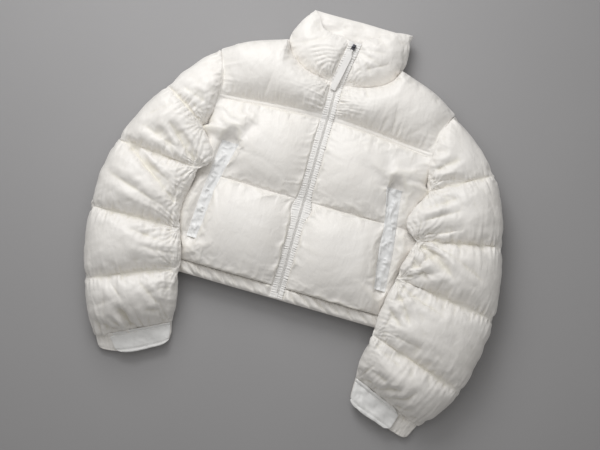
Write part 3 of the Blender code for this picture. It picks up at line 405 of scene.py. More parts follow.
def lay_relief(piece, seams, rough):
    """Lays puckers, creases, pleats and soft dents on a filled and refined piece.

    rough is the dents' depth, direction and size."""
    normals, _ = normals_and_edges(piece.data)
    places = coordinates(piece.data)
    x, y = places[:, 0], places[:, 1] + REST_Y
    height = creases(x, y) + fans(x, y)
    for k, seam in enumerate(seams):
        height += puckers(x, y, seam, 3.0 * k + len(piece.name))
    deep, turn, size = rough
    along, across = turned(x, y, turn)
    dents = 1.0 - 2.0 * np.abs(ripple(along / (2.4 * size), across / size, 2.0))
    dents += 0.4 * (1.0 - 2.0 * np.abs(ripple(along / size, across / (0.45 * size), 8.0)))
    height -= deep * dents
    free = (1.0 - vertex_weights(piece, "sewn")) * soft(vertex_weights(piece, "reach") * 2.0)
    free *= soft((normals[:, 2] + 0.25) / 0.5)
    places += normals * (height * free)[:, None]
    piece.data.vertices.foreach_set("co", places.ravel())
    piece.data.update()


def gather(along, away, seed, pitch=0.011, reach=0.016):
    """Where a seam's gathers start, for the filling to work on; -1 to 1."""
    if away > 5 * reach:
        return 0.0
    near = math.exp(-away / reach) * ease(away / 0.004)
    wave = lumps(along / pitch, away / (6 * pitch), seed)
    wave += 0.5 * lumps(along / (0.45 * pitch), away / (4 * pitch), seed + 9.0)
    return near * wave


def crumple(x, y, seed, turn, size=0.034, stretch=2.2):
    """Soft dents with sharper ridges between them, long in the direction turn; about 0 to 1."""
    along, across = turned(x, y, turn)
    along, across = along / (size * stretch), across / size
    wide = abs(lumps(along, across, seed))
    fine = abs(lumps(along * 2.1 + 3.0, across * 2.1, seed + 5.0))
    return 1.0 - min(1.0, 2.2 * wide) + 0.45 * (1.0 - min(1.0, 2.2 * fine))


# ------------------------------------------------------------------ the jacket's outlines
def edge_x(y):
    """Half-width of the body: its side seam, then its armhole."""
    return through(SIDE, y) if y < ARMPIT_Y else through(ARMHOLE, y)


def side_edge(side, y):
    """The half-width of the body with what it swells out below that side's sleeve."""
    if side not in INNER_SIDES:
        line = [sleeve_plan(side, baffle, k / 12, -1.0) for baffle in range(5) for k in range(13)]
        INNER_SIDES[side] = np.array(sorted((point[1], point[0]) for point in line)).T
    inner = np.interp(y, *INNER_SIDES[side]) + MEET * ease((ARMPIT_Y - y) / 0.014)
    return edge_x(y) + max(inner - edge_x(y), 0.0) * ease((ARMPIT_Y - y) / 0.002)


def armhole_swell(y):
    """How full the padding stands at the armhole, 0 at both its ends."""
    share = held((y - ARMPIT_Y) / (SHOULDER_Y - ARMPIT_Y))
    return (4.0 * share * (1.0 - share)) ** 0.45


def front_edge_z(y):
    """Height of a front's or yoke's outer edge."""
    return max(FRONT_EDGE_Z, MIDDLE + ARMHOLE_RISE * armhole_swell(y))


def back_edge_z(y):
    """Height of the back's outer edge."""
    return min(BACK_EDGE_Z, MIDDLE - ARMHOLE_FALL * armhole_swell(y))


def drop_at(x):
    """How much lower the chest seam runs at x than at the zip."""
    return CHEST_DROP * (abs(x) / YOKE_HALF) ** 1.6


def zip_x(y):
    """The zip's line: straight up the body, leaning to +x in the collar."""
    return ZIP_LEAN * min(max((y - NECK_Y) / (ZIP_TOP_Y - NECK_Y), 0.0), 1.1)


def zip_bed(y):
    """Height of the flat strip that carries the zip."""
    if y <= HEM_TOP:
        return 0.040
    for low, high, rise in ((HEM_TOP, LOW_SEAM, 0.013), (LOW_SEAM, CHEST_SEAM, 0.013),
                            (CHEST_SEAM, NECK_Y, 0.009)):
        if y <= high:
            return 0.040 + 0.006 * ease((y - HEM_TOP) / 0.4) + rise * math.sin(
                math.pi * (y - low) / (high - low))
    share = (y - NECK_Y) / (ZIP_TOP_Y - NECK_Y)
    return 0.046 + 0.016 * math.sin(0.5 * math.pi * min(share * 1.25, 1.25))


def strip_half(y):
    """Half-width of the zip's strip, which bulges at the lower seam."""
    return ZIP_HALF + 0.0080 * bump(y, 0.206, 0.022)


def welt_edge(side, y, which):
    """x of a pocket welt's inner (0) or outer (1) edge, for the side's +x half."""
    return through(WELTS[side], y)[which]


# ------------------------------------------------------------------ making meshes
def alone(piece):
    """Selects one object and makes it the active one."""
    if bpy.context.object and bpy.context.object.mode != "OBJECT":
        bpy.ops.object.mode_set(mode="OBJECT")
    bpy.ops.object.select_all(action="DESELECT")
    piece.select_set(True)
    bpy.context.view_layer.objects.active = piece
    return piece


def grid_sheet(name, rows, holds=None):
    """A sheet of quads through rows of plan points, added as a grid and moved into place.

    holds gives the weights of each vertex group, in rows as the points are."""
    deep, wide = len(rows), len(rows[0])
    bpy.ops.mesh.primitive_grid_add(x_subdivisions=wide - 1, y_subdivisions=deep - 1, size=2.0)
    piece = bpy.context.object
    piece.name = piece.data.name = name
    flat = coordinates(piece.data)
    i = np.rint((flat[:, 0] + 1.0) / 2.0 * (wide - 1)).astype(int)
    j = np.rint((flat[:, 1] + 1.0) / 2.0 * (deep - 1)).astype(int)
    placed = np.array([[tuple(point) for point in row] for row in rows])[j, i]
    placed[:, 1] -= REST_Y
    piece.data.vertices.foreach_set("co", placed.ravel())
    for group, values in (holds or {}).items():
        weigh(piece, group, np.array(values)[j, i])
    return piece


def wrapped(rows):
    """Rows whose last point is their first again."""
    return [row + row[:1] for row in rows]


def weigh(piece, group, values):
    """Writes one weight for each vertex."""
    made = piece.vertex_groups.new(name=group)
    for step in range(0, 21):
        level = step / 20
        chosen = np.nonzero(np.rint(values * 20).astype(int) == step)[0]
        if len(chosen) and level:
            made.add(chosen.tolist(), level, "REPLACE")


def select_rim():
    """Selects the open edges alone, in edit mode."""
    bpy.ops.mesh.select_all(action="DESELECT")
    bpy.ops.mesh.select_non_manifold(use_wire=False, use_multi_face=False,
                                     use_non_contiguous=False, use_verts=False)


def face_out():
    """Turns all faces outwards, and leaves edit mode."""
    bpy.ops.mesh.select_all(action="SELECT")
    bpy.ops.mesh.normals_make_consistent(inside=False)
    bpy.ops.object.mode_set(mode="OBJECT")


def close_up(piece, ends=False):
    """Merges the doubled rows of a rolled-up sheet, closes its ends and turns it face out."""
    alone(piece)
    bpy.ops.object.mode_set(mode="EDIT")
    bpy.ops.mesh.select_all(action="SELECT")
    bpy.ops.mesh.remove_doubles(threshold=1e-7)
    if ends:
        select_rim()
        bpy.ops.mesh.fill_holes(sides=0)
    face_out()


def modify(piece, kind, **settings):
    """Adds a modifier with these settings and applies it."""
    alone(piece)
    made = piece.modifiers.new("change", kind)
    for key, value in settings.items():
        setattr(made, key, value)
    bpy.ops.object.modifier_apply(modifier=made.name)


def back_face(piece, plane):
    """Gives an open padded face its rim and its plain inner face at the height plane."""
    alone(piece)
    bpy.ops.object.mode_set(mode="EDIT")
    bpy.ops.mesh.select_mode(type="EDGE")
    select_rim()
    bpy.ops.mesh.extrude_edges_move()
    work = bmesh.from_edit_mesh(piece.data)
    for vert in work.verts:
        if vert.select:
            vert.co.z = plane
    bmesh.update_edit_mesh(piece.data)
    bpy.ops.mesh.edge_face_add()
    bpy.ops.mesh.quads_convert_to_tris()
    face_out()


def dress(piece, look, nodes, body="jacket", angle=62.0):
    """Shades a finished piece, gives it its finish and ties it to the frame."""
    alone(piece)
    bpy.ops.object.shade_smooth_by_angle(angle=math.radians(angle))
    piece.data.materials.clear()
    piece.data.materials.append(finish_of(look))
    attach(piece, body)
    if nodes:
        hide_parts(*nodes)
    return piece


def signed(side, path):
    """A path for the side's +x half, put on that side."""
    return [(side * x, y) for x, y in path]


def chest_line(lift=0.0):
    """Plan points along the chest seam, or that far above it."""
    return [(0.0145 + 0.0231 * k, CHEST_SEAM - drop_at(0.0145 + 0.0231 * k) + lift)
            for k in range(11)]


def welt_line(side, which, shift=0.0, count=6):
    """Plan points along a welt's inner (0) or outer (1) edge, that far off it."""
    low, high = WELTS[side][0][0], WELTS[side][-1][0]
    ys = [blend(low, high, k / count) for k in range(count + 1)]
    return [(welt_edge(side, y, which) + shift, y) for y in ys]


def signed_seams(side, *seams):
    """Seams as (path, pitch, reach, height of their puckers, depth of a groove), on one side."""
    return [(signed(side, path), *sizes) for path, *sizes in seams]


def front_seams(side):
    return signed_seams(
        side,
        ([(strip_half(y), y) for y in (0.03, 0.13, 0.17, 0.19, 0.206, 0.225)],
         0.0095, 0.034, 0.0042),
        ([(strip_half(y), y) for y in (0.229, 0.24, 0.26, 0.41)], 0.0095, 0.028, 0.0036),
        (((0.015, HEM_TOP), (0.23, HEM_TOP)), 0.0115, 0.022, 0.0028),
        (((0.015, LOW_SEAM), (0.20, LOW_SEAM)), 0.013, 0.018, 0.0024),
        (chest_line(), 0.013, 0.018, 0.0024),
        (welt_line(side, 0, -0.0030), 0.012, 0.016, 0.0024, 0.0040),
        (welt_line(side, 1), 0.011, 0.030, 0.0056))


def yoke_seams(side):
    return signed_seams(
        side, (((ZIP_HALF, 0.43), (ZIP_HALF, 0.50)), 0.0095, 0.030, 0.0038),
        (chest_line(SEAM_BAND), 0.012, 0.018, 0.0024), (NECK_LINE, 0.012, 0.020, 0.0024),
        ([row[1:] for row in SHOULDER], 0.013, 0.014, 0.0016),
        ([row[1::-1] for row in ARMHOLE[1:]], 0.013, 0.020, 0.0028))


def sleeve_seams(side):
    """A sleeve's seams, then the seam that runs along below its arm, and its inner side."""
    across = [((row[0:2], row[2:4]), *sizes) for row, sizes in zip(SLEEVE_SEAMS[side], (
        (0.0125, 0.020, 0.0032), (0.0125, 0.022, 0.0034), (0.0125, 0.022, 0.0034),
        (0.0135, 0.022, 0.0032), (0.0155, 0.036, 0.0050)))]
    under = [sleeve_plan(side, baffle, share, -UNDERARM) for baffle in (2, 3, 4)
             for share in (0.0, 0.5)] + [sleeve_plan(side, 4, 1.0, -UNDERARM)]
    edge = [sleeve_plan(side, baffle, share, -1.0) for baffle in (1, 2)
            for share in (0.0, 0.5, 1.0)]
    return signed_seams(side, ([row[::-1] for row in ARMHOLE], 0.013, 0.022, 0.0030), *across,
                        (under, 0.0095, 0.013, 0.0026), (edge, 0.011, 0.014, 0.0024))


def collar_seams():
    """On each side, the collar's neck seam, its top edge and the zip's edge."""
    return [seam for side in (1, -1) for seam in signed_seams(
        side, (NECK_LINE, 0.012, 0.018, 0.0020),
        ([(0.13 * across, y) for across, y in COLLAR_TOP[side]], 0.012, 0.012, 0.0014),
        ([(zip_x(y) * side + ZIP_HALF, y) for y in (0.504, 0.55, 0.60)], 0.0085, 0.014, 0.0014))]


# ------------------------------------------------------------------ filling the padded pieces
def hold_to_fill(name, cells, done, ends=False):
    """A sheet through rows of (point, pin, reach, gathering) that waits for its filling.

    It is sewn where its pin is 1, moves as far as its reach lets it, and done follows."""
    points = [[cell[0] for cell in row] for row in cells]
    holds = {group: [[cell[k] for cell in row] for row in cells]
             for k, group in ((1, "sewn"), (2, "reach"), (3, "gathered"))}
    piece = grid_sheet(name, points, holds)
    WAITING.append((piece, done))
    close_up(piece, ends)


def vertex_weights(piece, group):
    """The weight of each vertex in a group; without the group, all of the reach and no pin."""
    values = np.zeros(len(piece.data.vertices))
    if group not in piece.vertex_groups:
        return values + (1.0 if group == "reach" else 0.0)
    index = piece.vertex_groups[group].index
    for k, vert in enumerate(piece.data.vertices):
        for entry in vert.groups:
            if entry.group == index:
                values[k] = entry.weight
    return values


def coordinates(mesh):
    """The vertices of a mesh as an array."""
    flat = np.empty(len(mesh.vertices) * 3)
    mesh.vertices.foreach_get("co", flat)
    return flat.reshape(-1, 3)


def normals_and_edges(mesh):
    """The normal of each vertex of a mesh, and the two ends of each edge."""
    work = bmesh.new()
    work.from_mesh(mesh)
    normals = np.array([tuple(vert.normal) for vert in work.verts])
    edges = np.array([[vert.index for vert in edge.verts] for edge in work.edges])
    work.free()
    return normals, edges


def fill_all(sizes):
    """Runs the cloth of all the padded pieces at once, and keeps what it makes of them."""
    for piece, _ in WAITING:
        cloth = piece.modifiers.new("filling", "CLOTH")
        for key, value in dict(
                quality=6, mass=0.12, tension_stiffness=14.0, compression_stiffness=10.0,
                shear_stiffness=5.0, bending_stiffness=sizes.bending, tension_damping=6.0,
                compression_damping=6.0, air_damping=2.0, use_pressure=True,
                uniform_pressure_force=sizes.pressure, shrink_min=-sizes.ease,
                shrink_max=-sizes.gathering, vertex_group_shrink="gathered",
                vertex_group_mass="sewn").items():
            setattr(cloth.settings, key, value)
        cloth.settings.effector_weights.gravity = 0.0
        cloth.collision_settings.use_collision = False
        cloth.collision_settings.use_self_collision = False
        cloth.point_cache.frame_end = sizes.frames
    for step in range(1, sizes.frames + 1):
        bpy.context.scene.frame_set(step)
    graph = bpy.context.evaluated_depsgraph_get()
    settled = [coordinates(piece.evaluated_get(graph).data) for piece, _ in WAITING]
    bpy.context.scene.frame_set(1)
    for (piece, _), after in zip(WAITING, settled):
        piece.modifiers.clear()
        before = coordinates(piece.data)
        move = after - before
        far = np.linalg.norm(move, axis=1)
        cap = vertex_weights(piece, "reach") * sizes.cap + 1e-6
        move *= (cap * np.tanh(far / cap) / np.maximum(far, 1e-9))[:, None]
        after = before + move
        after[:, 2] = np.maximum(after[:, 2], np.minimum(before[:, 2], 0.0))
        piece.data.vertices.foreach_set("co", after.ravel())
    for piece, done in WAITING:
        done(piece)
        piece.vertex_groups.clear()
    WAITING.clear()


def note_hollows(piece):
    """Stores how deep each point lies below its surroundings, 0 to 1, as the mask of the shell's
    painted crease shade.
    """
    normals, pairs = normals_and_edges(piece.data)
    start = coordinates(piece.data)
    flat = start.copy()
    links = np.bincount(pairs.ravel(), minlength=len(start))[:, None]
    for _ in range(HOLLOW_ROUNDS):
        total = np.zeros_like(flat)
        np.add.at(total, pairs[:, 0], flat[pairs[:, 1]])
        np.add.at(total, pairs[:, 1], flat[pairs[:, 0]])
        flat = 0.5 * flat + 0.5 * total / np.maximum(links, 1)
    depth = ((flat - start) * normals).sum(axis=1)
    values = np.clip(depth / HOLLOW_DEEP, 0.0, 1.0)
    made = piece.data.attributes.new("hollow", "FLOAT", "POINT")
    made.data.foreach_set("value", values.astype(np.float32))


# ------------------------------------------------------------------ the back
def yoke_point(share, lift, neck):
    """Plan of a yoke point: lift is (metres above the chest seam, share of what is left)."""
    low_x = YOKE_HALF * share
    low_x = blend(low_x, edge_x(CHEST_SEAM - drop_at(low_x)), share ** 4)
    low_y = CHEST_SEAM - drop_at(low_x) - SEWN_OVER
    high_x, high_y = through(neck, share) if share <= NECK_SHARE else through(SHOULDER, share)
    high_y += SEWN_OVER
    away, rest = lift
    first = away / math.hypot(high_x - low_x, high_y - low_y)
    step = first + (1.0 - first) * rest
    x, y = blend(low_x, high_x, step), blend(low_y, high_y, step)
    x = blend(x, edge_x(y), share ** (14 + 40 * rest))
    if neck is FRONT_NECK and share <= STRIP_SHARE:
        x = max(ZIP_HALF * share / STRIP_SHARE, GAP / 2)
    return x, y


def back_z(x, y, share, edge=None):
    """Height of the back's underside; it settles flat where its baffles would reach lower."""
    rolled = roll((edge or edge_x(min(y, SHOULDER_Y))) - x, BACK_REACH)
    seam = blend(back_edge_z(y), BACK_SEAM_Z, rolled)
    return max(0.0, seam + (BACK_CREST_Z - seam) * dome(share) * rolled)


def back_gather(x, y, z):
    """The gathers along the back's seams, where it doesn't lie on the surface."""
    if z <= 0.002:
        return 0.0
    near = min(abs(y - HEM_TOP), abs(y - LOW_SEAM), abs(y - CHEST_SEAM + drop_at(x)))
    return 0.0012 * gather(x, near, 3.0)


def back_rows():
    """Rows of the back's three baffles, from the hem to the neck and shoulders."""
    half = [0.0] + [s ** 0.9 for s in spread(34, 0.0)[1:]]
    shares = [-s for s in half[:0:-1]] + half
    rows = []
    for low, high in ((HEM_TOP, LOW_SEAM), (LOW_SEAM, CHEST_SEAM)):
        for step in spread(24, 0.6)[0 if low == HEM_TOP else 1:]:
            at_middle = max(blend(low, high, step), HEM_TOP + GAP / 2)
            falls = max(at_middle - LOW_SEAM, 0.0) / (CHEST_SEAM - LOW_SEAM)
            row = []
            for share in shares:
                y = at_middle - drop_at(share * YOKE_HALF) * falls
                edge = side_edge(1 if share > 0 else -1, y)
                row.append((share * edge, y, back_z(abs(share * edge), y, step, edge)))
            rows.append(row)
    for step in spread(22, 0.6)[1:]:
        row = []
        for share in shares:
            x, y = yoke_point(abs(share), (0.0, step), BACK_NECK)
            row.append((math.copysign(x, share), y, back_z(x, y, step)))
        rows.append(row)
    return [[(x, y, max(z + back_gather(x, y, z), 0.0)) for x, y, z in row] for row in rows]


# ------------------------------------------------------------------ the fronts
def front_columns(side, y):
    """x of a front's columns at height y, closer at the zip and at the pocket."""
    inner, outer = welt_edge(side, y, 0), welt_edge(side, y, 1)
    strip, open_count, welt, flank = FRONT_COUNTS
    xs = [blend(GAP / 2, strip_half(y), k / strip) for k in range(strip)]
    xs += [blend(strip_half(y), inner, s) for s in spread(open_count, 0.45)[:-1]]
    xs += [blend(inner, outer, k / welt) for k in range(welt)]
    xs += [blend(outer, side_edge(side, y), k / flank) for k in range(flank + 1)]
    return xs


def pocket_share(side, x, y):
    """1 on the flat place round a pocket welt, falling to 0 in the baffle."""
    low, high = WELTS[side][0][0], WELTS[side][-1][0]
    beyond = max((low - y) / POCKET_FADE_Y, (y - high) / POCKET_TOP_FADE, 0.0)
    inner, outer = welt_edge(side, y, 0), welt_edge(side, y, 1)
    pinch = 0.5 * min(beyond, 1.0) * (outer - inner)
    return ease(1.0 - beyond) * (1.0 - roll(inner + pinch - x, POCKET_FADE_X)) \
        * (1.0 - FLANK_PUFF * roll(x - outer + pinch, 0.026))


def front_z(side, x, y, share, crest):
    """Height of a front's outer side at x (always positive), y; share is from seam to seam."""
    rolled = roll(side_edge(side, y) - x, FRONT_REACH)
    edge_z = front_edge_z(y) + 1.35 * (side_edge(side, y) - edge_x(y))
    seam = blend(edge_z, FRONT_SEAM_Z, rolled)
    full = seam + max(crest - seam, 0.0) * dome(share) * rolled
    flat = blend(edge_z, POCKET_Z, rolled)
    full = blend(full, flat, pocket_share(side, x, y))
    rise = roll(x - strip_half(y), FRONT_REACH)
    z = blend(zip_bed(y), full, rise)
    z -= fold_depth(side * x, y) * rise * rolled
    return max(z, MIDDLE + 0.004), rise, rolled


def near_seams(z, side, x, y, seam, seeds, turn, rise, rolled):
    """A front's or yoke's height with its first gathers and dents, for the filling to work on."""
    z += 0.0020 * gather(side * x, seam, seeds[0], 0.014) * rise * rolled
    z += 0.0016 * gather(y + 0.25 * x, x - ZIP_HALF, seeds[1], 0.014, 0.026)
    return z - 0.0010 * crumple(x, y, seeds[2], turn, 0.05) * rise * rolled


def gathering(near):
    """How much more a shell is gathered that near a seam."""
    return math.exp(-max(near, 0.0) / 0.018)


def front_rows(side):
    """A front's two baffles, in rows from the hem to the chest seam."""
    cells = []
    strip, open_count, welt, _ = FRONT_COUNTS
    welt_low, welt_high = WELTS[side][0][0] - 0.012, WELTS[side][-1][0] + 0.008
    for low, high, name in ((HEM_TOP, LOW_SEAM, "low"), (LOW_SEAM, CHEST_SEAM, "chest")):
        steps = spread(58, 0.5)
        for share in steps if name == "low" else steps[1:]:
            at_zip = blend(low, high, share)
            falls = max(at_zip - LOW_SEAM, 0.0) / (CHEST_SEAM - LOW_SEAM)
            row = []
            first_xs = front_columns(side, at_zip)
            for column, first_x in enumerate(first_xs):
                y = at_zip - drop_at(first_x) * falls
                x = front_columns(side, y)[column]
                z, rise, rolled = front_z(side, x, y, share, CREST_Z[name])
                on_welt = strip + open_count <= column <= strip + open_count + welt \
                    and welt_low < y < welt_high
                sewn = share in (0.0, 1.0) or column <= strip or on_welt \
                    or column == len(first_xs) - 1
                if not sewn:
                    seam = min(share, 1.0 - share) * (high - low)
                    z = near_seams(z, side, x, y, seam, (5.0 * side + high * 9, 7.0 * side,
                                                         41.0 * side), 0.5, rise, rolled)
                near = min(min(share, 1.0 - share) * (high - low), 0.7 * (x - ZIP_HALF))
                row.append(((side * x, y, z), float(sewn),
                            0.15 + 0.85 * ease((side_edge(side, y) - x) / 0.05), gathering(near)))
            cells.append(row)
    return cells


# ------------------------------------------------------------------ the yoke
def yoke_shares():
    """The columns of a yoke, as shares of its width, closer at the zip and the neck."""
    strip, neck, shoulder = YOKE_COUNTS
    shares = [STRIP_SHARE * k / strip for k in range(strip)]
    shares += [blend(STRIP_SHARE, NECK_SHARE, s) for s in spread(neck, 0.3)[:-1]]
    return shares + [blend(NECK_SHARE, 1.0, s) for s in spread(shoulder, 0.2)]


def yoke_z(side, share, x, y, rest):
    """Height of a yoke's outer side; rest is the share of its height above the band."""
    end = FRONT_EDGE_Z + (0.010 if share < NECK_SHARE else 0.002)
    rolled = roll(edge_x(y) - x, FRONT_REACH)
    seam = blend(front_edge_z(y), blend(FRONT_SEAM_Z, end, rest), rolled)
    full = seam + max(CREST_Z["yoke"] - seam, 0.0) * dome(rest) * rolled
    rise = roll(x - ZIP_HALF, FRONT_REACH)
    z = blend(zip_bed(y), full, rise) - fold_depth(side * x, y) * rise * rolled
    return max(z, MIDDLE + 0.004), rise, rolled


def yoke_rows(side):
    """A yoke, in rows from the chest seam's band to the neck and shoulder."""
    lifts = [(SEAM_BAND * k / 8, 0.0) for k in range(9)]
    lifts += [(SEAM_BAND, step) for step in spread(32, 0.5)[1:]]
    cells = []
    for lift in lifts:
        row = []
        for column, share in enumerate(yoke_shares()):
            x, y = yoke_point(share, lift, FRONT_NECK)
            z, rise, rolled = yoke_z(side, share, x, y, lift[1])
            sewn = lift[1] in (0.0, 1.0) or column <= YOKE_COUNTS[0] or share == 1.0
            if lift[1] == 0.0:
                z += 0.0012 * rise - 0.0016 * rise * sum(
                    bump(lift[0], line, 0.0011) for line in BAND_STITCHES)
                z += 0.0009 * rise * lumps(x * 190, lift[0] * 90, 6.0 * side)
            if not sewn:
                high = yoke_point(share, (0.0, 1.0), FRONT_NECK)[1]
                seam = max(min(y - CHEST_SEAM + drop_at(x) - SEAM_BAND, high - y), 0.0)
                z = near_seams(z, side, x, y, seam, (11.0 * side, 13.0 * side, 43.0 * side), 0.9,
                               rise, rolled)
            near = min(min(lift[1], 1.0 - lift[1]) * 0.08, 0.7 * (x - ZIP_HALF))
            row.append(((side * x, y, z), float(sewn), 0.2 + 0.8 * ease((edge_x(y) - x) / 0.05),
                        gathering(near)))
        cells.append(row)
    return cells


# ------------------------------------------------------------------ the hem band
def hem_z(x, y):
    """How far the band stands off the inner plane."""
    across = roll(y + 0.0015, 0.011) * roll(HEM_TOP + 0.0015 - y, 0.008)
    lean = x + 0.9 * y + 0.014 * lumps(x * 22, y * 22, 2.0)
    lump = 0.70 + 0.42 * abs(math.cos(math.pi * lean / HEM_LUMP)) ** 0.5
    lump += 0.22 * lumps(x * 45 + y * 50, y * 25, 4.0)
    lump -= 0.34 * abs(lumps(x * 120 + y * 100, y * 40, 8.0))
    return max(0.0025, HEM_THICK * across * lump * (0.35 + 0.65 * roll(edge_x(y) - abs(x), 0.02)))


def bed_z(y):
    """Height of the strip below the zip; the hem band's is lower near its edge."""
    if y < HEM_TOP:
        return min(zip_bed(y), MIDDLE + max(hem_z(s * ZIP_HALF, y) for s in (1, -1)))
    return zip_bed(y)


def hem_rows(side):
    """Rows of a front's hem band, or of the back's, which hangs below, where side is 0."""
    shares = [0.0, 0.03, ZIP_HALF / 0.2353] + [0.08 + 0.92 * k / 90 for k in range(91)]
    rows = []
    for y in [blend(0.0, HEM_TOP + SEWN_OVER, s) for s in spread(14, 0.6)]:
        if side:
            bed = min(zip_bed(y), MIDDLE + hem_z(side * ZIP_HALF, y))
            xs = [max(share * edge_x(y), GAP / 2) for share in shares]
            rows.append([(side * x, y, blend(bed, MIDDLE + hem_z(side * x, y),
                                             ease((x - ZIP_HALF) / 0.01))) for x in xs])
        else:
            xs = [edge_x(y) * (k / 80 - 1.0) for k in range(161)]
            rows.append([(x, y, MIDDLE - GAP - hem_z(x + 0.013, y)) for x in xs])
    return rows


# ------------------------------------------------------------------ the sleeves
def seam_rows(side):
    """A sleeve's armhole and seams: two plan points, crest, cap rise and the sides' heights."""
    armhole = (ARMHOLE[0][1], ARMPIT_Y, ARMHOLE[-1][1], SHOULDER_Y,
               MIDDLE + ARMHOLE_RISE, CAP_RISE, MIDDLE, MIDDLE)
    return (armhole,) + SLEEVE_SEAMS[side]


def sleeve_plan(side, baffle, share, across):
    """x, y of a sleeve point; across is -1 at the inner side and 1 at the outer side."""
    here, there = seam_rows(side)[baffle:baffle + 2]
    width = (1.0 + across) / 2.0
    near_x, near_y = blend(here[0], here[2], width), blend(here[1], here[3], width)
    if baffle == 0:
        near_x = through(ARMHOLE, near_y) - 3 * SEWN_OVER
    far_x, far_y = blend(there[0], there[2], width), blend(there[1], there[3], width)
    out_x, out_y = there[2] - there[0], there[3] - there[1]
    long = math.hypot(out_x, out_y)
    bulge = SLEEVE_BULGE_OUT * dome(share)
    if across < 0:
        bulge = SLEEVE_BULGE_IN[side][baffle] * math.sin(math.pi * share ** 1.3)
    bulge *= across * abs(across) / long
    return blend(near_x, far_x, share) + out_x * bulge, blend(near_y, far_y, share) + out_y * bulge


def sleeve_ring(side, baffle, share, length):
    """A closed ring of a sleeve's outside, from its outer side over the top."""
    here, there = seam_rows(side)[baffle:baffle + 2]
    crest = blend(here[4], there[4], share ** 2.4 if baffle == 4 else share)
    crest += here[5] * dome(share)
    seam_low = blend(MIDDLE - ARMHOLE_FALL, SLEEVE_SEAM_LOW, share) if baffle == 0 \
        else SLEEVE_SEAM_LOW * (1.0 - share if baffle == 4 else 1.0)
    low = seam_low - SLEEVE_SINK * dome(share)
    away = min(share, 1.0 - share) * length
    sewn = share in (0.0, 1.0)
    ring = []
    for k in range(SLEEVE_RING):
        angle = 2.0 * math.pi * k / SLEEVE_RING
        across = math.cos(angle)
        height = abs(math.sin(angle))
        x, y = sleeve_plan(side, baffle, share, across)
        side_z = blend(blend(here[6], there[6], share), blend(here[7], there[7], share),
                       (1.0 + across) / 2.0)
        if k < SLEEVE_RING // 2:
            z = side_z + (crest - side_z) * height ** 0.9
            z -= fold_depth(side * x, y) * min(1.0, 1.5 * height)
            if not sewn:
                half = 0.5 * math.hypot(there[2] - there[0], there[3] - there[1])
                z += 0.0024 * gather(across * half, away, 17.0 * side + baffle, 0.015) * height
                z -= 0.0022 * height * crumple(x, y, 47.0 * side, CRUMPLE_TURN[side][baffle],
                                               0.045)
                if baffle >= 2:
                    groove = abs(across + UNDERARM) * half
                    z -= 0.0035 * bump(groove, 0.0, 0.004)
                    z += 0.0016 * gather(y, groove, 23.0 * side, 0.014, 0.014)
        else:
            inner_cut = blend(1.5, 3.0, dome(share)) if baffle == 1 else 1.5
            undercut = blend(inner_cut, 0.6, (1.0 + across) / 2.0) if baffle else 0.9
            z = max(0.0, side_z - (side_z - low) * height ** undercut)
        free = 1.0 if across > -0.6 else 0.55
        near = min(away, 0.9 * abs(across + UNDERARM) * 0.1 if baffle >= 2 else away)
        ring.append(((side * x, y, z), float(sewn or z < 0.012),
                     free * ease((z - 0.010) / 0.03), gathering(near)))
    return ring


def sleeve_inside(side, baffle, share):
    """One ring of the flattened hollow in a sleeve."""
    here, there = seam_rows(side)[baffle:baffle + 2]
    crest = blend(here[4], there[4], share)
    ring = []
    for k in range(SLEEVE_RING):
        angle = 2.0 * math.pi * k / SLEEVE_RING
        x, y = sleeve_plan(side, baffle, share, SLOT_SHARE * math.cos(angle))
        z = blend(MIDDLE, crest * 0.45, min(baffle + share, 1.0)) + SLOT_HALF * math.sin(angle)
        ring.append(((side * x, y, z), 1.0, 0.0, 0.0))
    return ring


# ------------------------------------------------------------------ the cuffs
def cuff_ring(side, share, scale, half_height):
    """A ring of a cuff: scale is 1 on its outside and less inside."""
    seam, end = SLEEVE_SEAMS[side][-1], CUFF_END[side]
    drop_x, drop_y = end[0] - seam[0] + end[2] - seam[2], end[1] - seam[1] + end[3] - seam[3]
    long = math.hypot(drop_x, drop_y)
    ring = []
    for k in range(SLEEVE_RING):
        angle = 2.0 * math.pi * k / SLEEVE_RING
        width = (1.0 + scale * math.cos(angle)) / 2.0
        step = -CUFF_OVER * (1.0 - share) ** 4 / long
        if scale == 1.0:
            step -= 0.0090 * abs(math.cos(angle)) ** 9 * share ** 3 / long
            step += 0.0012 * lumps(angle * 2.2, side, 3.0) * share / long
        x = blend(blend(seam[0], seam[2], width), blend(end[0], end[2], width), share)
        y = blend(blend(seam[1], seam[3], width), blend(end[1], end[3], width), share)
        flat = abs(math.sin(angle)) ** 0.55
        z = CUFF_SIDE + math.copysign(half_height * flat, math.sin(angle))
        if scale == 1.0 and z > CUFF_SIDE:
            z += 0.0022 * lumps(x * 45, y * 45, side * 5.0) * flat
            z += 0.0016 * bump(share, 0.05, 0.05) * flat
            z -= 0.0014 * bump(share, 0.14, 0.04) * flat
            z -= 0.0012 * bump(share, 0.88, 0.03) * flat
        corner = CUFF_CORNER[side] * max(math.cos(angle), 0.0) ** 2 * share ** 0.8
        ring.append((side * (x + drop_x * step + corner), y + drop_y * step + 0.15 * corner,
                     max(z, 0.0)))
    return ring


def strap_ends(side):
    """Where a cuff strap's tip and root lie on the cuff's ring."""
    return [round(turn * SLEEVE_RING) for turn in STRAP_TURN[side]]


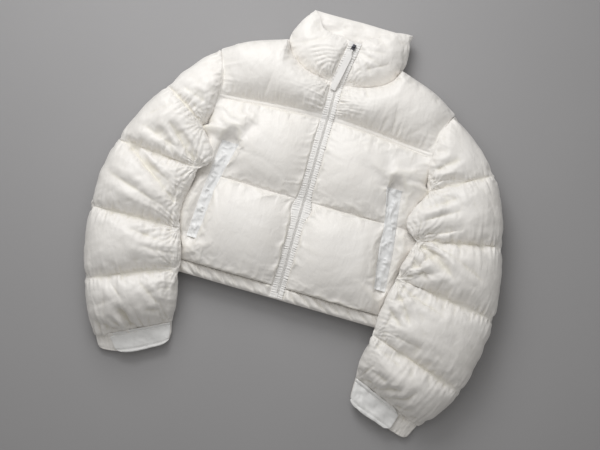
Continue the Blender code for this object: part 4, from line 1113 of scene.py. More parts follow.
def strap_rows(side):
    """Rows of a cuff strap, from its upper edge to just past the cuff's end."""
    tip, root = strap_ends(side)
    rows = []
    for share in [0.03 + 1.02 * s for s in spread(30, 0.4)]:
        ring = cuff_ring(side, share, 1.0, CUFF_TOP - CUFF_SIDE)
        pull = 0.12 * (2.0 * (share - 0.03) / 1.02 - 1.0) ** 8 * (root - tip)
        edge = min(share - 0.03, 1.05 - share)
        row = []
        for k in range(41):
            at = blend(tip + pull, root, k / 40)
            whole = int(at)
            x, y, z = (blend(a, b, at - whole) for a, b in zip(ring[whole], ring[whole + 1]))
            z += GAP + 0.0044 + 0.0026 * lumps(x * 50, y * 50, 5.0)
            z -= 0.0026 * abs(lumps(x * 95 + y * 40, y * 70, 9.0))
            z += 0.0011 * bump(edge, 0.05, 0.03)
            z -= 0.0013 * bump(edge, 0.13, 0.03)
            row.append((x, y, max(z, 0.005)))
        rows.append(row)
    return rows


# ------------------------------------------------------------------ the collar
def collar_arch(across):
    """The round of the collar's section, 1 at its middle and 0 at its sides."""
    return math.sqrt(max(0.0, 1.0 - abs(across) ** 2.4))


def collar_wall(point, height, reach):
    """The inside face's point across the wall from an outer one; reach is below 0 at the back."""
    row = through(COLLAR, height)
    inward = min(COLLAR_WALL, max(0.0, abs(point[0]) - 0.085) * 0.5)
    inward *= blend(0.08 if reach >= 0.0 else 0.0, 1.0, ease(height / 0.25))
    z = COLLAR_LENS_Z - 0.0035 * (1.0 - height) + row[5] * reach
    if reach == 0.0:
        z = point[2]
    elif reach > 0.0:
        z = min(z, point[2] - COLLAR_LEAST * ease(height / 0.1))
    else:
        puff = 0.013 * dome(held((height - 0.12) / 0.88))
        puff += 0.0040 * lumps(point[0] * 28, point[1] * 60, 1.0) * dome(height)
        puff -= 0.0030 * abs(lumps(point[0] * 60, point[1] * 70, 6.0)) * dome(height)
        z = max(z, point[2] + COLLAR_LEAST * ease(height / 0.1)) - puff * reach
    return point[0] - math.copysign(inward, point[0]), point[1], z


def collar_front(side, height, share):
    """A point of the front's outside; share is the yoke's, so that the neck seam meets it."""
    row = through(COLLAR, height)
    side_x = row[0] if side > 0 else -row[1]
    base_x, base_y = through(FRONT_NECK, share)
    across = 0.0 if share <= STRIP_SHARE else base_x / FRONT_NECK[-1][1]
    y = blend(base_y, through(COLLAR_TOP[side], across), height)
    start = side * zip_x(blend(NECK_Y, COLLAR_TOP[side][0][1], height))
    if share <= STRIP_SHARE:
        x = start + max(ZIP_HALF * share / STRIP_SHARE, GAP / 2)
        return side * x, y, zip_bed(y)
    x = start + blend(ZIP_HALF, side_x - start,
                      (base_x - ZIP_HALF) / (FRONT_NECK[-1][1] - ZIP_HALF))
    z = blend(row[3], row[2], collar_arch(across))
    rise = roll(x - start - ZIP_HALF, 0.035)
    z = blend(zip_bed(y), z, rise)
    return side * x, y, z + 0.0020 * lumps(x * 40, y * 40, side * 7.0) * rise \
        * collar_arch(across) * dome(height)


def collar_back(height, share):
    """A point of the back's outside, which lies on the surface; share is the back's, signed."""
    row = through(COLLAR, height)
    base_x, base_y = through(BACK_NECK, abs(share))
    across = math.copysign(base_x / BACK_NECK[-1][1], share) if share else 0.0
    y = blend(base_y + GAP / 2, through(COLLAR_BACK_TOP, abs(across)), height)
    x = blend(row[1], row[0], (1.0 + across) / 2.0)
    return (x, y, max(0.0, blend(row[3], row[4], collar_arch(across) ** 0.7))), across


def collar_rows():
    """Rows of the collar's outside, then of its inside, from the wearer's left round the back."""
    strip = YOKE_COUNTS[0]
    front = [STRIP_SHARE * k / strip for k in range(strip)]
    front += [blend(STRIP_SHARE, NECK_SHARE, s) for s in spread(44, 0.35)]
    back = [blend(0.0, NECK_SHARE, s) for s in spread(20, 0.2)]
    outer_rows, inner_rows = [], []
    for height in spread(38, 0.4):
        outer, inner = [], []

        def add(point, bulge, sewn):
            reach = 0.8 * ease((point[2] - 0.022) / 0.02)
            outer.append((point, float(height in (0.0, 1.0) or sewn), reach, 0.4 * reach))
            inner.append((collar_wall(point, height, bulge), 1.0, 0.0, 0.0))

        def add_front(side, shares):
            for share in shares:
                bulge = collar_arch(through(FRONT_NECK, share)[0] / FRONT_NECK[-1][1])
                add(collar_front(side, height, share), bulge, share <= STRIP_SHARE)

        add_front(1, front)
        for share in back[-2::-1] + [-s for s in back[1:-1]]:
            point, across = collar_back(height, share)
            add(point, -collar_arch(across), True)
        add_front(-1, front[::-1])
        outer_rows.append(outer)
        inner_rows.append(inner)
    return outer_rows + inner_rows[::-1] + outer_rows[:1]


# ------------------------------------------------------------------ thin layers and small parts
def laid_layer(node, rows, look, thick, bevel):
    """A strip of cloth through rows of points, with its thickness and soft edges, laid down."""
    piece = grid_sheet(node + "_cloth", rows)
    modify(piece, "SOLIDIFY", thickness=thick, offset=1.0)
    modify(piece, "BEVEL", width=bevel, segments=2, limit_method="ANGLE",
           angle_limit=math.radians(60))
    close_up(piece)
    dress(piece, look, [node], angle=40.0)


def welt_rows(side, tree):
    """Rows of a pocket welt, crumpled, over the front whose tree this is."""
    low, high = WELTS[side][0][0] - 0.006, WELTS[side][-1][0] + 0.004
    rows = []
    for s in spread(110, 0.1):
        y = blend(low, high, s)
        row = []
        for k in range(15):
            x = blend(welt_edge(side, y, 0) - 0.0012, welt_edge(side, y, 1), k / 14)
            z = plumb(tree, side * x, y)[0].z
            lean = x * 0.8 + y * 0.6
            fold = 0.0026 + 0.0080 * lumps(lean * 62, (y - x) * 36, 3.0)
            fold -= 0.0070 * abs(lumps(lean * 100, (y - x) * 62, 7.0))
            lip = ease((y - 0.17) / 0.04)
            fold += lip * 0.0024 * bump(k / 14, 0.66, 0.16)
            fold -= lip * 0.0030 * bump(k / 14, 0.26, 0.10)
            fold = 0.0008 * math.log1p(math.exp(fold / 0.0008)) + 0.0008
            z += 0.0001 + fold * math.sin(math.pi * k / 14) ** 0.5
            row.append((side * x, y, z))
        rows.append(row)
    return rows


def tape_rows(side):
    """Rows of one half of the zip's tape, puckered along its stitches."""
    rows = []
    for k in range(561):
        y = blend(0.0025, 0.5988, k / 560)
        turn = 2 * math.pi * (y / RIB_PITCH + 0.8 * lumps(y * 55, side, 0))
        vigour = 0.7 + 1.3 * lumps(y * 90, side, 4.0)
        wave = 0.0010 * math.sin(turn + side) * vigour
        wave += 0.0010 * lumps(y * 210, side * 3.0, 0.0)
        row = []
        for share in (0.0, 0.2, 0.4, 0.6, 0.8, 1.0):
            x = blend(0.0012, strip_half(y) - 0.0006 + wave, share)
            z = bed_z(y) + 2.0 * GAP + 0.0010 * ease(share * 2.0) * (
                1.0 + vigour * math.sin(turn + 2.0 * share)) \
                + 0.0014 * share * lumps(x * 130, y * 170, 2.0)
            row.append((zip_x(y) + side * x, y, z))
        rows.append(row)
    return rows


def tooth_frames(pitch):
    """Frames of the zip's teeth, by turns on its two sides, up to the slider."""
    frames = []
    y, side = 0.0155, 1
    while y < ZIP_TOP_Y - SLIDER_LONG / 2 - 0.0006:
        slope = (bed_z(y + 0.002) - bed_z(y - 0.002)) / 0.004
        along = Vector((0.0, 1.0, slope)).normalized()
        up = Vector((0.0, -slope, 1.0)).normalized()
        origin = Vector((zip_x(y) + side * 0.0013, y - REST_Y, bed_z(y) + 0.0031))
        frames.append((origin, Vector((-side, 0, 0)), along, up))
        y += pitch
        side = -side
    return frames


def joined(name, template, frames):
    """Copies of one small modelled mesh, each at its frame (origin, along, across, up)."""
    verts = coordinates(template.data)
    faces = [tuple(face.vertices) for face in template.data.polygons]
    places = [verts @ np.array([tuple(axis) for axis in axes]) + np.array(tuple(origin))
              for origin, *axes in frames]
    polygons = [tuple(i + k * len(verts) for i in face)
                for k in range(len(frames)) for face in faces]
    mesh = bpy.data.meshes.new(name)
    mesh.from_pydata(np.concatenate(places).tolist(), [], polygons)
    mesh.update()
    piece = bpy.data.objects.new(name, mesh)
    bpy.context.scene.collection.objects.link(piece)
    bpy.data.objects.remove(template, do_unlink=True)
    return piece


def stitch_template():
    """One stitch: a short thread, thick in its middle, that lies along x."""
    bpy.ops.mesh.primitive_cylinder_add(vertices=6, radius=0.5, depth=1.0,
                                        rotation=(0.0, math.pi / 2, 0.0))
    piece = bpy.context.object
    bpy.ops.object.transform_apply(location=True, rotation=True, scale=True)
    bpy.ops.object.mode_set(mode="EDIT")
    bpy.ops.mesh.select_all(action="SELECT")
    bpy.ops.mesh.bisect(plane_co=(0, 0, 0), plane_no=(1, 0, 0))
    bpy.ops.object.mode_set(mode="OBJECT")
    for vert in piece.data.vertices:
        if abs(vert.co.x) > 0.4:
            vert.co.y *= 0.45
            vert.co.z = vert.co.z * 0.45 - 0.25
    return piece


def surface_of(*names):
    """A tree of the finished pieces with these names, to lay sewing on them from above."""
    verts, faces = [], []
    for name in names:
        mesh = bpy.data.objects[name].data
        faces += [tuple(i + len(verts) for i in face.vertices) for face in mesh.polygons]
        verts += [vert.co.copy() for vert in mesh.vertices]
    return BVHTree.FromPolygons(verts, faces)


def plumb(tree, x, y):
    """Where a plumb line at a plan point meets the pieces of a tree: place, normal and more."""
    return tree.ray_cast(Vector((x, y - REST_Y, 0.3)), Vector((0, 0, -1)))


def sew(tree, path, sizes):
    """Frames of stitches along a plan path, each lying on the surface below it."""
    frames, carried = [], 0.0
    for here, there in zip(path[:-1], path[1:]):
        long = math.hypot(there[0] - here[0], there[1] - here[1])
        while carried < long:
            ends = [plumb(tree, *(blend(a, b, reach / long) for a, b in zip(here, there)))
                    for reach in (carried, carried + sizes.stitch_long)]
            carried += sizes.stitch_pitch
            if ends[0][0] is None or ends[1][0] is None:
                continue
            run = ends[1][0] - ends[0][0]
            if run.length > 2.0 * sizes.stitch_long:
                continue
            up = (ends[0][1] + ends[1][1]).normalized()
            up = up if up.z > 0 else -up
            across = up.cross(run).normalized()
            middle = (ends[0][0] + ends[1][0]) / 2 + up * THREAD_LIFT
            frames.append((middle, run, across * sizes.thread, up * sizes.thread))
        carried -= long
    return frames


# ------------------------------------------------------------------ finishes
class Wire:
    """A value in a finish: sums and products with it add the nodes."""

    def __init__(self, finish, socket):
        self.finish, self.socket = finish, socket

    def maths(self, operation, other=0.0):
        return self.finish.node("ShaderNodeMath", {"operation": operation}, [self, other])

    def __add__(self, other):
        return self.maths("ADD", other)

    def __mul__(self, other):
        return self.maths("MULTIPLY", other)


class Finish:
    """A material that is being wired."""

    def __init__(self, name, **plain):
        self.material = bpy.data.materials.new(name)
        self.material.use_nodes = True
        self.tree = self.material.node_tree
        self.shader = self.tree.nodes["Principled BSDF"]
        for socket, value in plain.items():
            self.shader.inputs[socket.replace("_", " ")].default_value = value

    def node(self, kind, settings=None, inputs=(), output=0):
        """Adds a node, sets it and feeds its inputs; gives the value it puts out."""
        made = self.tree.nodes.new(kind)
        for key, value in (settings or {}).items():
            setattr(made, key, value)
        pairs = inputs.items() if isinstance(inputs, dict) else enumerate(inputs)
        for key, value in pairs:
            self.feed(made.inputs[key], value)
        return Wire(self, made.outputs[output])

    def feed(self, socket, value):
        """Links a value to a socket, or sets the socket to a plain one."""
        if isinstance(value, Wire):
            self.tree.links.new(value.socket, socket)
        else:
            socket.default_value = value

    def set(self, name, value):
        self.feed(self.shader.inputs[name], value)

    def place(self, scale=(1.0, 1.0, 1.0), turn=0.0):
        """Object coordinates in metres, scaled and turned about z."""
        at = self.node("ShaderNodeTexCoord", output="Object")
        return self.node("ShaderNodeMapping", {}, {"Vector": at, "Scale": scale,
                                                   "Rotation": (0.0, 0.0, turn)})

    def clouds(self, scale, detail=2.0, stretch=(1.0, 1.0, 1.0), turn=0.0, distortion=0.0):
        """Noise with about that many waves to a metre."""
        return self.node("ShaderNodeTexNoise", {}, {
            "Vector": self.place(stretch, turn), "Scale": scale, "Detail": detail,
            "Distortion": distortion})

    def axis(self, which):
        """One of the object's coordinates, in metres."""
        at = self.node("ShaderNodeTexCoord", output="Object")
        return self.node("ShaderNodeSeparateXYZ", {}, [at], output=which)

    def mix(self, share, first, second):
        """A colour between two."""
        made = self.tree.nodes.new("ShaderNodeMix")
        made.data_type = "RGBA"
        for socket, value in ((made.inputs[0], share), (made.inputs[6], first),
                              (made.inputs[7], second)):
            self.feed(socket, value)
        return Wire(self, made.outputs[2])

    def relief(self, height, depth, strength=1.0, under=None):
        """A bump of that height in metres."""
        inputs = {"Strength": strength, "Distance": depth, "Height": height}
        if under is not None:
            inputs["Normal"] = under
        return self.node("ShaderNodeBump", {}, inputs)

    def wave(self, which, pitch):
        """A sine over one axis, once to each pitch in metres."""
        return (self.axis(which) * (2.0 * math.pi / pitch)).maths("SINE")

    def weave(self, pitch, depth, strength):
        """Relief of a plain weave, a thread to each pitch."""
        return self.relief(self.wave(0, 2 * pitch) * self.wave(1, 2 * pitch), depth, strength)

    def stops(self, value, *steps):
        """A value through a ramp of (place, level) steps."""
        made = self.tree.nodes.new("ShaderNodeValToRGB")
        ramp = made.color_ramp
        while len(ramp.elements) < len(steps):
            ramp.elements.new(0.5)
        for element, (at, level) in zip(ramp.elements, steps):
            element.position = at
            element.color = (level, level, level, 1.0)
        self.feed(made.inputs[0], value)
        return Wire(self, made.outputs[0])


def four(colour, factor=1.0):
    """A colour with its alpha, made that much brighter."""
    return tuple(channel * factor for channel in colour) + (1.0,)


def nylon(colours):
    """Smooth white shell nylon: a soft sheen, painted cream shade in the creases, fine crushed
    wrinkles.
    """
    finish = Finish("shell_nylon", IOR=1.5, Coat_Roughness=0.30, Sheen_Weight=0.15,
                    Sheen_Roughness=0.4)
    hollow = finish.node("ShaderNodeAttribute", {"attribute_name": "hollow"}, output=2)
    patches = finish.stops(finish.clouds(9.0, 3.0), (0.30, 0.0), (0.72, 1.0))
    base = finish.mix(patches * 0.5, four(colours.shell), four(colours.shell_warm))
    # painted shade: the shell turns cream where the hollow mask says it lies in a crease or seam
    finish.set("Base Color", finish.mix(hollow * 0.65, base, four(colours.crease_shade)))
    crushed = finish.clouds(70.0, 4.0, (1.0, 0.50, 1.0), 0.5, 0.8)
    crinkle = finish.clouds(260.0, 3.0, (1.0, 0.6, 1.0), -0.7, 0.8)
    finish.set("Roughness", finish.clouds(60.0) * 0.12 + 0.42)
    finish.set("Coat Weight", finish.clouds(20.0) * 0.10 + 0.02)
    small = finish.relief(crinkle, 0.0010, 0.30, finish.weave(0.00045, 0.00002, 0.35))
    finish.set("Normal", finish.relief(crushed, 0.0040, 0.36, small))
    return finish.material


def smooth_trim(colours, name="welt_nylon", colour=None):
    """Flat bonded nylon of the welts, a little bluer and plainer than the shell."""
    finish = Finish(name, IOR=1.5, Coat_Roughness=0.35, Coat_Weight=0.10)
    clouds = finish.clouds(30.0, 3.0)
    colour = colour or colours.trim
    finish.set("Base Color", finish.mix(clouds * 0.6, four(colour), four(colour, 0.94)))
    finish.set("Roughness", clouds * 0.12 + 0.38)
    finish.set("Normal", finish.relief(finish.clouds(120.0, 3.0, distortion=0.8), 0.0014, 0.35,
                                       finish.weave(0.0006, 0.00003, 0.5)))
    return finish.material


def strap_trim(colours):
    """The cuff straps' nylon, as white as the shell."""
    return smooth_trim(colours, "strap_nylon", (0.875, 0.872, 0.862))


def woven_tape(colours):
    """Zip tape and ribbon: ribs across it, with the fine warp between them."""
    finish = Finish("tape_weave", IOR=1.45, Sheen_Weight=0.2)
    rib = finish.wave(1, 0.0021) * 0.5 + 0.5
    warp = finish.wave(0, 0.0008) * 0.5 + 0.5
    clouds = finish.clouds(140.0, 3.0)
    shade = rib * 0.35 + clouds * 0.5
    finish.set("Base Color", finish.mix(shade, four(colours.tape, 0.95), four(colours.tape)))
    finish.set("Roughness", clouds * 0.15 + 0.48)
    fine = finish.relief(warp, 0.00012, 0.3)
    finish.set("Normal", finish.relief(rib, 0.0003, 0.3, fine))
    return finish.material


def moulded(colours):
    """White moulded plastic of the teeth and the zip's stop."""
    finish = Finish("zip_plastic", IOR=1.5, Coat_Roughness=0.2)
    clouds = finish.clouds(400.0, 2.0)
    finish.set("Base Color",
               finish.mix(clouds * 0.5, four(colours.tape), four(colours.tape, 0.90)))
    finish.set("Roughness", clouds * 0.12 + 0.34)
    finish.set("Normal", finish.relief(clouds, 0.0001, 0.3))
    return finish.material


def gunmetal(colours):
    """Dark plated metal, paler where it is rubbed."""
    finish = Finish("gunmetal", Metallic=1.0)
    rubbed = finish.stops(finish.clouds(900.0, 4.0), (0.48, 0.0), (0.75, 1.0))
    finish.set("Base Color", finish.mix(rubbed, four(colours.metal), four(colours.metal, 2.4)))
    finish.set("Roughness", rubbed * 0.15 + 0.24)
    finish.set("Normal", finish.relief(finish.clouds(2500.0), 0.00004, 0.4))
    return finish.material


def thread_finish(colours):
    """Twisted white sewing thread, with painted shade in the twist's grooves."""
    finish = Finish("sewing_thread", Sheen_Weight=0.3)
    twist = (finish.axis(0) + finish.axis(1)) * (2.0 * math.pi / THREAD_TWIST)
    twist = twist.maths("SINE") * 0.5 + 0.5
    # painted shade: the thread is darker in the twist's grooves and lighter on its ridges,
    # following its relief
    finish.set("Base Color", finish.mix(twist, four(colours.tape, 0.80), four(colours.tape, 1.04)))
    finish.set("Roughness", twist * 0.1 + 0.5)
    finish.set("Normal", finish.relief(twist, 0.0001, 0.5))
    return finish.material


MAKERS = {"shell": nylon, "trim": smooth_trim, "strap": strap_trim, "tape": woven_tape,
          "coil": moulded, "teeth": moulded, "metal": gunmetal, "thread": thread_finish}
FINISHES = {}


def finish_of(look):
    """The finish of that look, made when it is first asked for."""
    if look not in FINISHES:
        FINISHES[look] = MAKERS[look](bpy.context.scene.jacket_colours)
    return FINISHES[look]


# ------------------------------------------------------------------ sizes and colours
def amount(name, what, default, high, **kind):
    """A number from 0 to high that the panel shows."""
    return FloatProperty(name=name, description=what, default=default, min=0.0, max=high, **kind)


def metres(name, what, default):
    """A length that the panel shows."""
    return amount(name, what, default, 1.0, unit="LENGTH", precision=4)


def tint(name, what, default):
    """A colour that the panel shows."""
    return FloatVectorProperty(name=name, description=what, default=default, subtype="COLOR",
                               size=3, min=0.0, max=1.0)


class JacketSizes(bpy.types.PropertyGroup):
    pressure: amount("Filling", "How hard the filling pushes the shell out", 5.0, 20.0)
    ease: amount("Ease", "How much longer the shell is cut than its seams", 0.030, 0.2,
                 subtype="FACTOR")
    gathering: amount("Gathering", "The same, close to a gathered seam", 0.09, 0.5,
                      subtype="FACTOR")
    bending: amount("Stiffness", "How much the shell resists a sharp bend", 0.06, 5.0)
    frames: IntProperty(name="Steps", description="How long the shell has to settle", default=20,
                        min=2, max=60)
    cap: metres("Swell", "The furthest that a point of the shell may move as it fills", 0.008)
    stitch_long: metres("Stitch", "Length of one stitch", 0.0026)
    stitch_pitch: metres("Stitch pitch", "From one stitch to the next", 0.0035)
    thread: metres("Thread", "Thickness of the sewing thread", 0.0006)
    tooth_pitch: metres("Tooth pitch", "From one zip tooth to the next on the other side", 0.0016)


class JacketColours(bpy.types.PropertyGroup):
    shell: tint("Shell", "The shell's white nylon", (0.875, 0.850, 0.818))
    shell_warm: tint("Shell, warm", "The shell where the filling shows through",
                     (0.865, 0.832, 0.785))
    # painted shade: the colour the shell's creases and seams are painted, standing in for the
    # shade that falls there
    crease_shade: tint("Crease", "The shell in its creases and seams", (0.74, 0.705, 0.60))
    trim: tint("Trim", "Pocket welts and cuff straps", (0.835, 0.838, 0.838))
    tape: tint("Tape", "Zip tape, ribbon, teeth and thread", (0.895, 0.880, 0.860))
    metal: tint("Metal", "The slider and its link", (0.07, 0.07, 0.08))
    floor: tint("Floor", "The plain floor", (0.36, 0.355, 0.36))


class StageSettings(bpy.types.PropertyGroup):
    key_light: amount("Key light", "The soft light from above the collar", 19.0, 500.0,
                      unit="POWER")
    fill_light: amount("Fill light", "The wide light overhead", 5.2, 500.0, unit="POWER")
    sky: amount("Sky", "Light from all round", 0.31, 5.0)


# ------------------------------------------------------------------ operators
class JacketOperator(bpy.types.Operator):
    bl_options = {"REGISTER", "UNDO"}

    @property
    def sizes(self):
        return bpy.context.scene.jacket_sizes


def when_filled(node, seams=None, rough=(0.0, 0.0, 0.05), plane=None):
    """What follows a padded piece's filling; plane is the inner side of an open face."""
    def done(piece):
        modify(piece, "SUBSURF", levels=1, render_levels=1, boundary_smooth="PRESERVE_CORNERS")
        if seams:
            lay_relief(piece, seams, rough)
        note_hollows(piece)
        if plane is not None:
            back_face(piece, plane)
        dress(piece, "shell", [node])
    return done


class JACKET_OT_back(JacketOperator):
    """Makes the back, which lies on the surface."""
    bl_idname = "jacket.back"
    bl_label = "Back"

    def execute(self, context):
        piece = grid_sheet("back_shell", back_rows())
        when_filled("back_panel", plane=MIDDLE - GAP)(piece)
        return {"FINISHED"}


class JACKET_OT_fronts(JacketOperator):
    """Makes the two fronts, each of two baffles, and holds them for filling."""
    bl_idname = "jacket.fronts"
    bl_label = "Fronts"

    def execute(self, context):
        for side, word in SIDES:
            done = when_filled("front_" + word, front_seams(side),
                               (0.0008, 0.7 * side, 0.040), MIDDLE)
            hold_to_fill("front_%s_shell" % word, front_rows(side), done)
        return {"FINISHED"}


class JACKET_OT_yokes(JacketOperator):
    """Makes the two yokes and holds them for filling."""
    bl_idname = "jacket.yokes"
    bl_label = "Yokes"

    def execute(self, context):
        for side, word in SIDES:
            done = when_filled("yoke_" + word, yoke_seams(side),
                               (0.0008, 0.9 * side, 0.040), MIDDLE)
            hold_to_fill("yoke_%s_shell" % word, yoke_rows(side), done)
        return {"FINISHED"}


class JACKET_OT_hems(JacketOperator):
    """Makes the gathered hem band, front and back."""
    bl_idname = "jacket.hems"
    bl_label = "Hem band"

    def execute(self, context):
        for side, word in SIDES + ((0, "back"),):
            piece = grid_sheet("hem_%s_shell" % word, hem_rows(side))
            when_filled("hem_" + word, plane=MIDDLE if side else MIDDLE - GAP)(piece)
        return {"FINISHED"}


class JACKET_OT_sleeves(JacketOperator):
    """Makes the two sleeves, each of five baffles, and holds them for filling."""
    bl_idname = "jacket.sleeves"
    bl_label = "Sleeves"

    def execute(self, context):
        for side, word in SIDES:
            outside, rows = [], seam_rows(side)
            for baffle, (here, there) in enumerate(zip(rows, rows[1:])):
                length = 0.5 * (math.dist(here[:2], there[:2]) + math.dist(here[2:4], there[2:4]))
                steps = spread(max(16, round(length / 0.0048)), 0.5)
                outside += [sleeve_ring(side, baffle, share, length)
                            for share in (steps if baffle == 4 else steps[:-1])]
            inside = [sleeve_inside(side, baffle, 0.0) for baffle in range(5)]
            inside.append(sleeve_inside(side, 4, 1.0))
            done = when_filled("sleeve_" + word, sleeve_seams(side),
                               (0.0014, -0.7 * side, 0.036))
            hold_to_fill("sleeve_%s_shell" % word,
                         wrapped(outside + inside[::-1] + outside[:1]), done)
        return {"FINISHED"}


class JACKET_OT_cuffs(JacketOperator):
    """Makes the cuffs and the strap on each."""
    bl_idname = "jacket.cuffs"
    bl_label = "Cuffs and straps"

    def execute(self, context):
        for side, word in SIDES:
            outside = [cuff_ring(side, share, 1.0, blend(
                0.0158, (CUFF_TOP - CUFF_SIDE) * (0.80 + 0.26 * dome(share)), ease(share / 0.22)))
                       for share in spread(16, 0.5)]
            inside = [cuff_ring(side, share, 0.88, CUFF_SLOT) for share in (0.0, 0.5, 1.0)]
            piece = grid_sheet("cuff_%s_shell" % word,
                               wrapped(outside + inside[::-1] + outside[:1]))
            close_up(piece)
            folds = signed_seams(side, *(((row[0:2], row[2:4]), *sizes) for row, sizes in (
                (SLEEVE_SEAMS[side][-1], (0.0115, 0.022, 0.0030)),
                (CUFF_END[side], (0.0105, 0.014, 0.0018)))))
            when_filled("cuff_" + word, folds, (0.0010, 0.4, 0.022))(piece)
            laid_layer("cuff_strap_" + word, strap_rows(side), "strap", 0.0024, 0.0007)
        return {"FINISHED"}


class JACKET_OT_collar(JacketOperator):
    """Makes the collar, open at the front, and holds it for filling."""
    bl_idname = "jacket.collar"
    bl_label = "Collar"

    def execute(self, context):
        hold_to_fill("collar_shell", collar_rows(), when_filled(
            "collar", collar_seams(), (0.0010, 0.6, 0.040)), ends=True)
        return {"FINISHED"}


class JACKET_OT_fill(JacketOperator):
    """Fills the padded pieces: their cloth swells between its seams and wrinkles there."""
    bl_idname = "jacket.fill"
    bl_label = "Fill"

    def execute(self, context):
        fill_all(self.sizes)
        return {"FINISHED"}


class JACKET_OT_welts(JacketOperator):
    """Makes the welts of the hand pockets."""
    bl_idname = "jacket.welts"
    bl_label = "Pocket welts"

    def execute(self, context):
        for side, word in SIDES:
            front = "front_%s_shell" % word
            laid_layer("pocket_welt_" + word, welt_rows(side, surface_of(front)), "trim", 0.0009,
                       0.0003)
        return {"FINISHED"}


class JACKET_OT_zip(JacketOperator):
    """Makes the zip's tapes and its closed teeth, and finishes its stop."""
    bl_idname = "jacket.zip"
    bl_label = "Zip"

    def execute(self, context):
        for side, word in SIDES:
            laid_layer("zip_tape_" + word, tape_rows(side), "tape", 0.0012, 0.0003)
        bpy.ops.mesh.primitive_cube_add(size=1.0)
        tooth = bpy.context.object
        tooth.scale = (0.0034, 0.0013, 0.0020)
        bpy.ops.object.transform_apply(location=True, rotation=True, scale=True)
        modify(tooth, "BEVEL", width=0.0004, segments=1)
        for vert in tooth.data.vertices:
            if vert.co.x < -0.0010:
                vert.co.y *= 1.25
        teeth = joined("zip_teeth", tooth, tooth_frames(self.sizes.tooth_pitch))
        close_up(teeth)
        dress(teeth, "teeth", ["zip_coil"], angle=35.0)
        for node, look in (("zip_box", "coil"), ("zip_slider", "metal"), ("zip_bridge", "metal"),
                           ("zip_link", "metal")):
            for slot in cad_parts[node].material_slots:
                slot.material = finish_of(look)
        return {"FINISHED"}


class JACKET_OT_ribbon(JacketOperator):
    """Makes the ribbon grip on the zip's link: one tape, folded through it and sewn."""
    bl_idname = "jacket.ribbon"
    bl_label = "Ribbon grip"

    def execute(self, context):
        base = max(zip_bed(ZIP_TOP_Y + s * SLIDER_LONG / 2) for s in (-1, 0, 1))
        base += 4.0 * GAP + TAPE_THICK
        pivot = Vector((zip_x(ZIP_TOP_Y), ZIP_TOP_Y, base + SLIDER_THICK + 0.0026))
        heading = Vector((math.cos(PULL_HEADING) * math.cos(RIBBON_SLOPE),
                          math.sin(PULL_HEADING) * math.cos(RIBBON_SLOPE),
                          -math.sin(RIBBON_SLOPE)))
        across = Vector((-math.sin(PULL_HEADING), math.cos(PULL_HEADING), 0.0))
        normal = heading.cross(across)
        normal = normal if normal.z > 0.0 else -normal
        bar = pivot + heading * LINK_LONG
        bend = LINK_WIRE + GAP + RIBBON_THICK / 2 + 0.0002
        upper = [(RIBBON_LONG * (1 - k / 40), RIBBON_THICK / 2 + GAP) for k in range(39)]
        wrap = [(-bend * math.sin(math.radians(a)), bend * math.cos(math.radians(a)))
                for a in range(-30, 211, 20)]
        path = upper + wrap + [(s, -n) for s, n in upper[::-1]]
        rows = []
        for k, (s, n) in enumerate(path):
            before, after = path[max(k - 1, 0)], path[min(k + 1, len(path) - 1)]
            tangent = Vector((after[0] - before[0], after[1] - before[1])).normalized()
            half = blend(RIBBON_NECK_HALF, RIBBON_HALF, ease((s - 0.003) / 0.012))
            half *= 1.0 + 0.02 * math.sin(s * 700)
            sag = 0.0016 * math.sin(math.pi * held(s / RIBBON_LONG)) ** 2
            ring = []
            for a, b in ((-1, .6), (-.85, 1), (0, 1), (.85, 1), (1, .6), (1, -.6), (.85, -1),
                         (0, -1), (-.85, -1), (-1, -.6)):
                off = RIBBON_THICK / 2 * b
                ring.append(bar + across * half * a + heading * (s - tangent.y * off)
                            + normal * (n + tangent.x * off - sag * (1 - a * a * 0.3)))
            rows.append(ring)
        ribbon = grid_sheet("zip_ribbon_cloth", wrapped(rows))
        close_up(ribbon, ends=True)
        dress(ribbon, "tape", ["zip_ribbon"], "pull", 50.0)
        corners = []
        for s, a in ((0.004, -0.72), (RIBBON_LONG - 0.003, -0.72), (RIBBON_LONG - 0.003, 0.72),
                     (RIBBON_LONG - 0.016, 0.72), (RIBBON_LONG - 0.016, -0.72)):
            half = RIBBON_HALF if s > 0.02 else RIBBON_NECK_HALF
            corners.append(bar + across * half * a + heading * s)
        frames = sew(surface_of(ribbon.name), [tuple(corner[:2]) for corner in corners[1:]],
                     self.sizes)
        stitches = joined("ribbon_stitches", stitch_template(), frames)
        dress(stitches, "thread", [], "pull", 40.0)
        return {"FINISHED"}


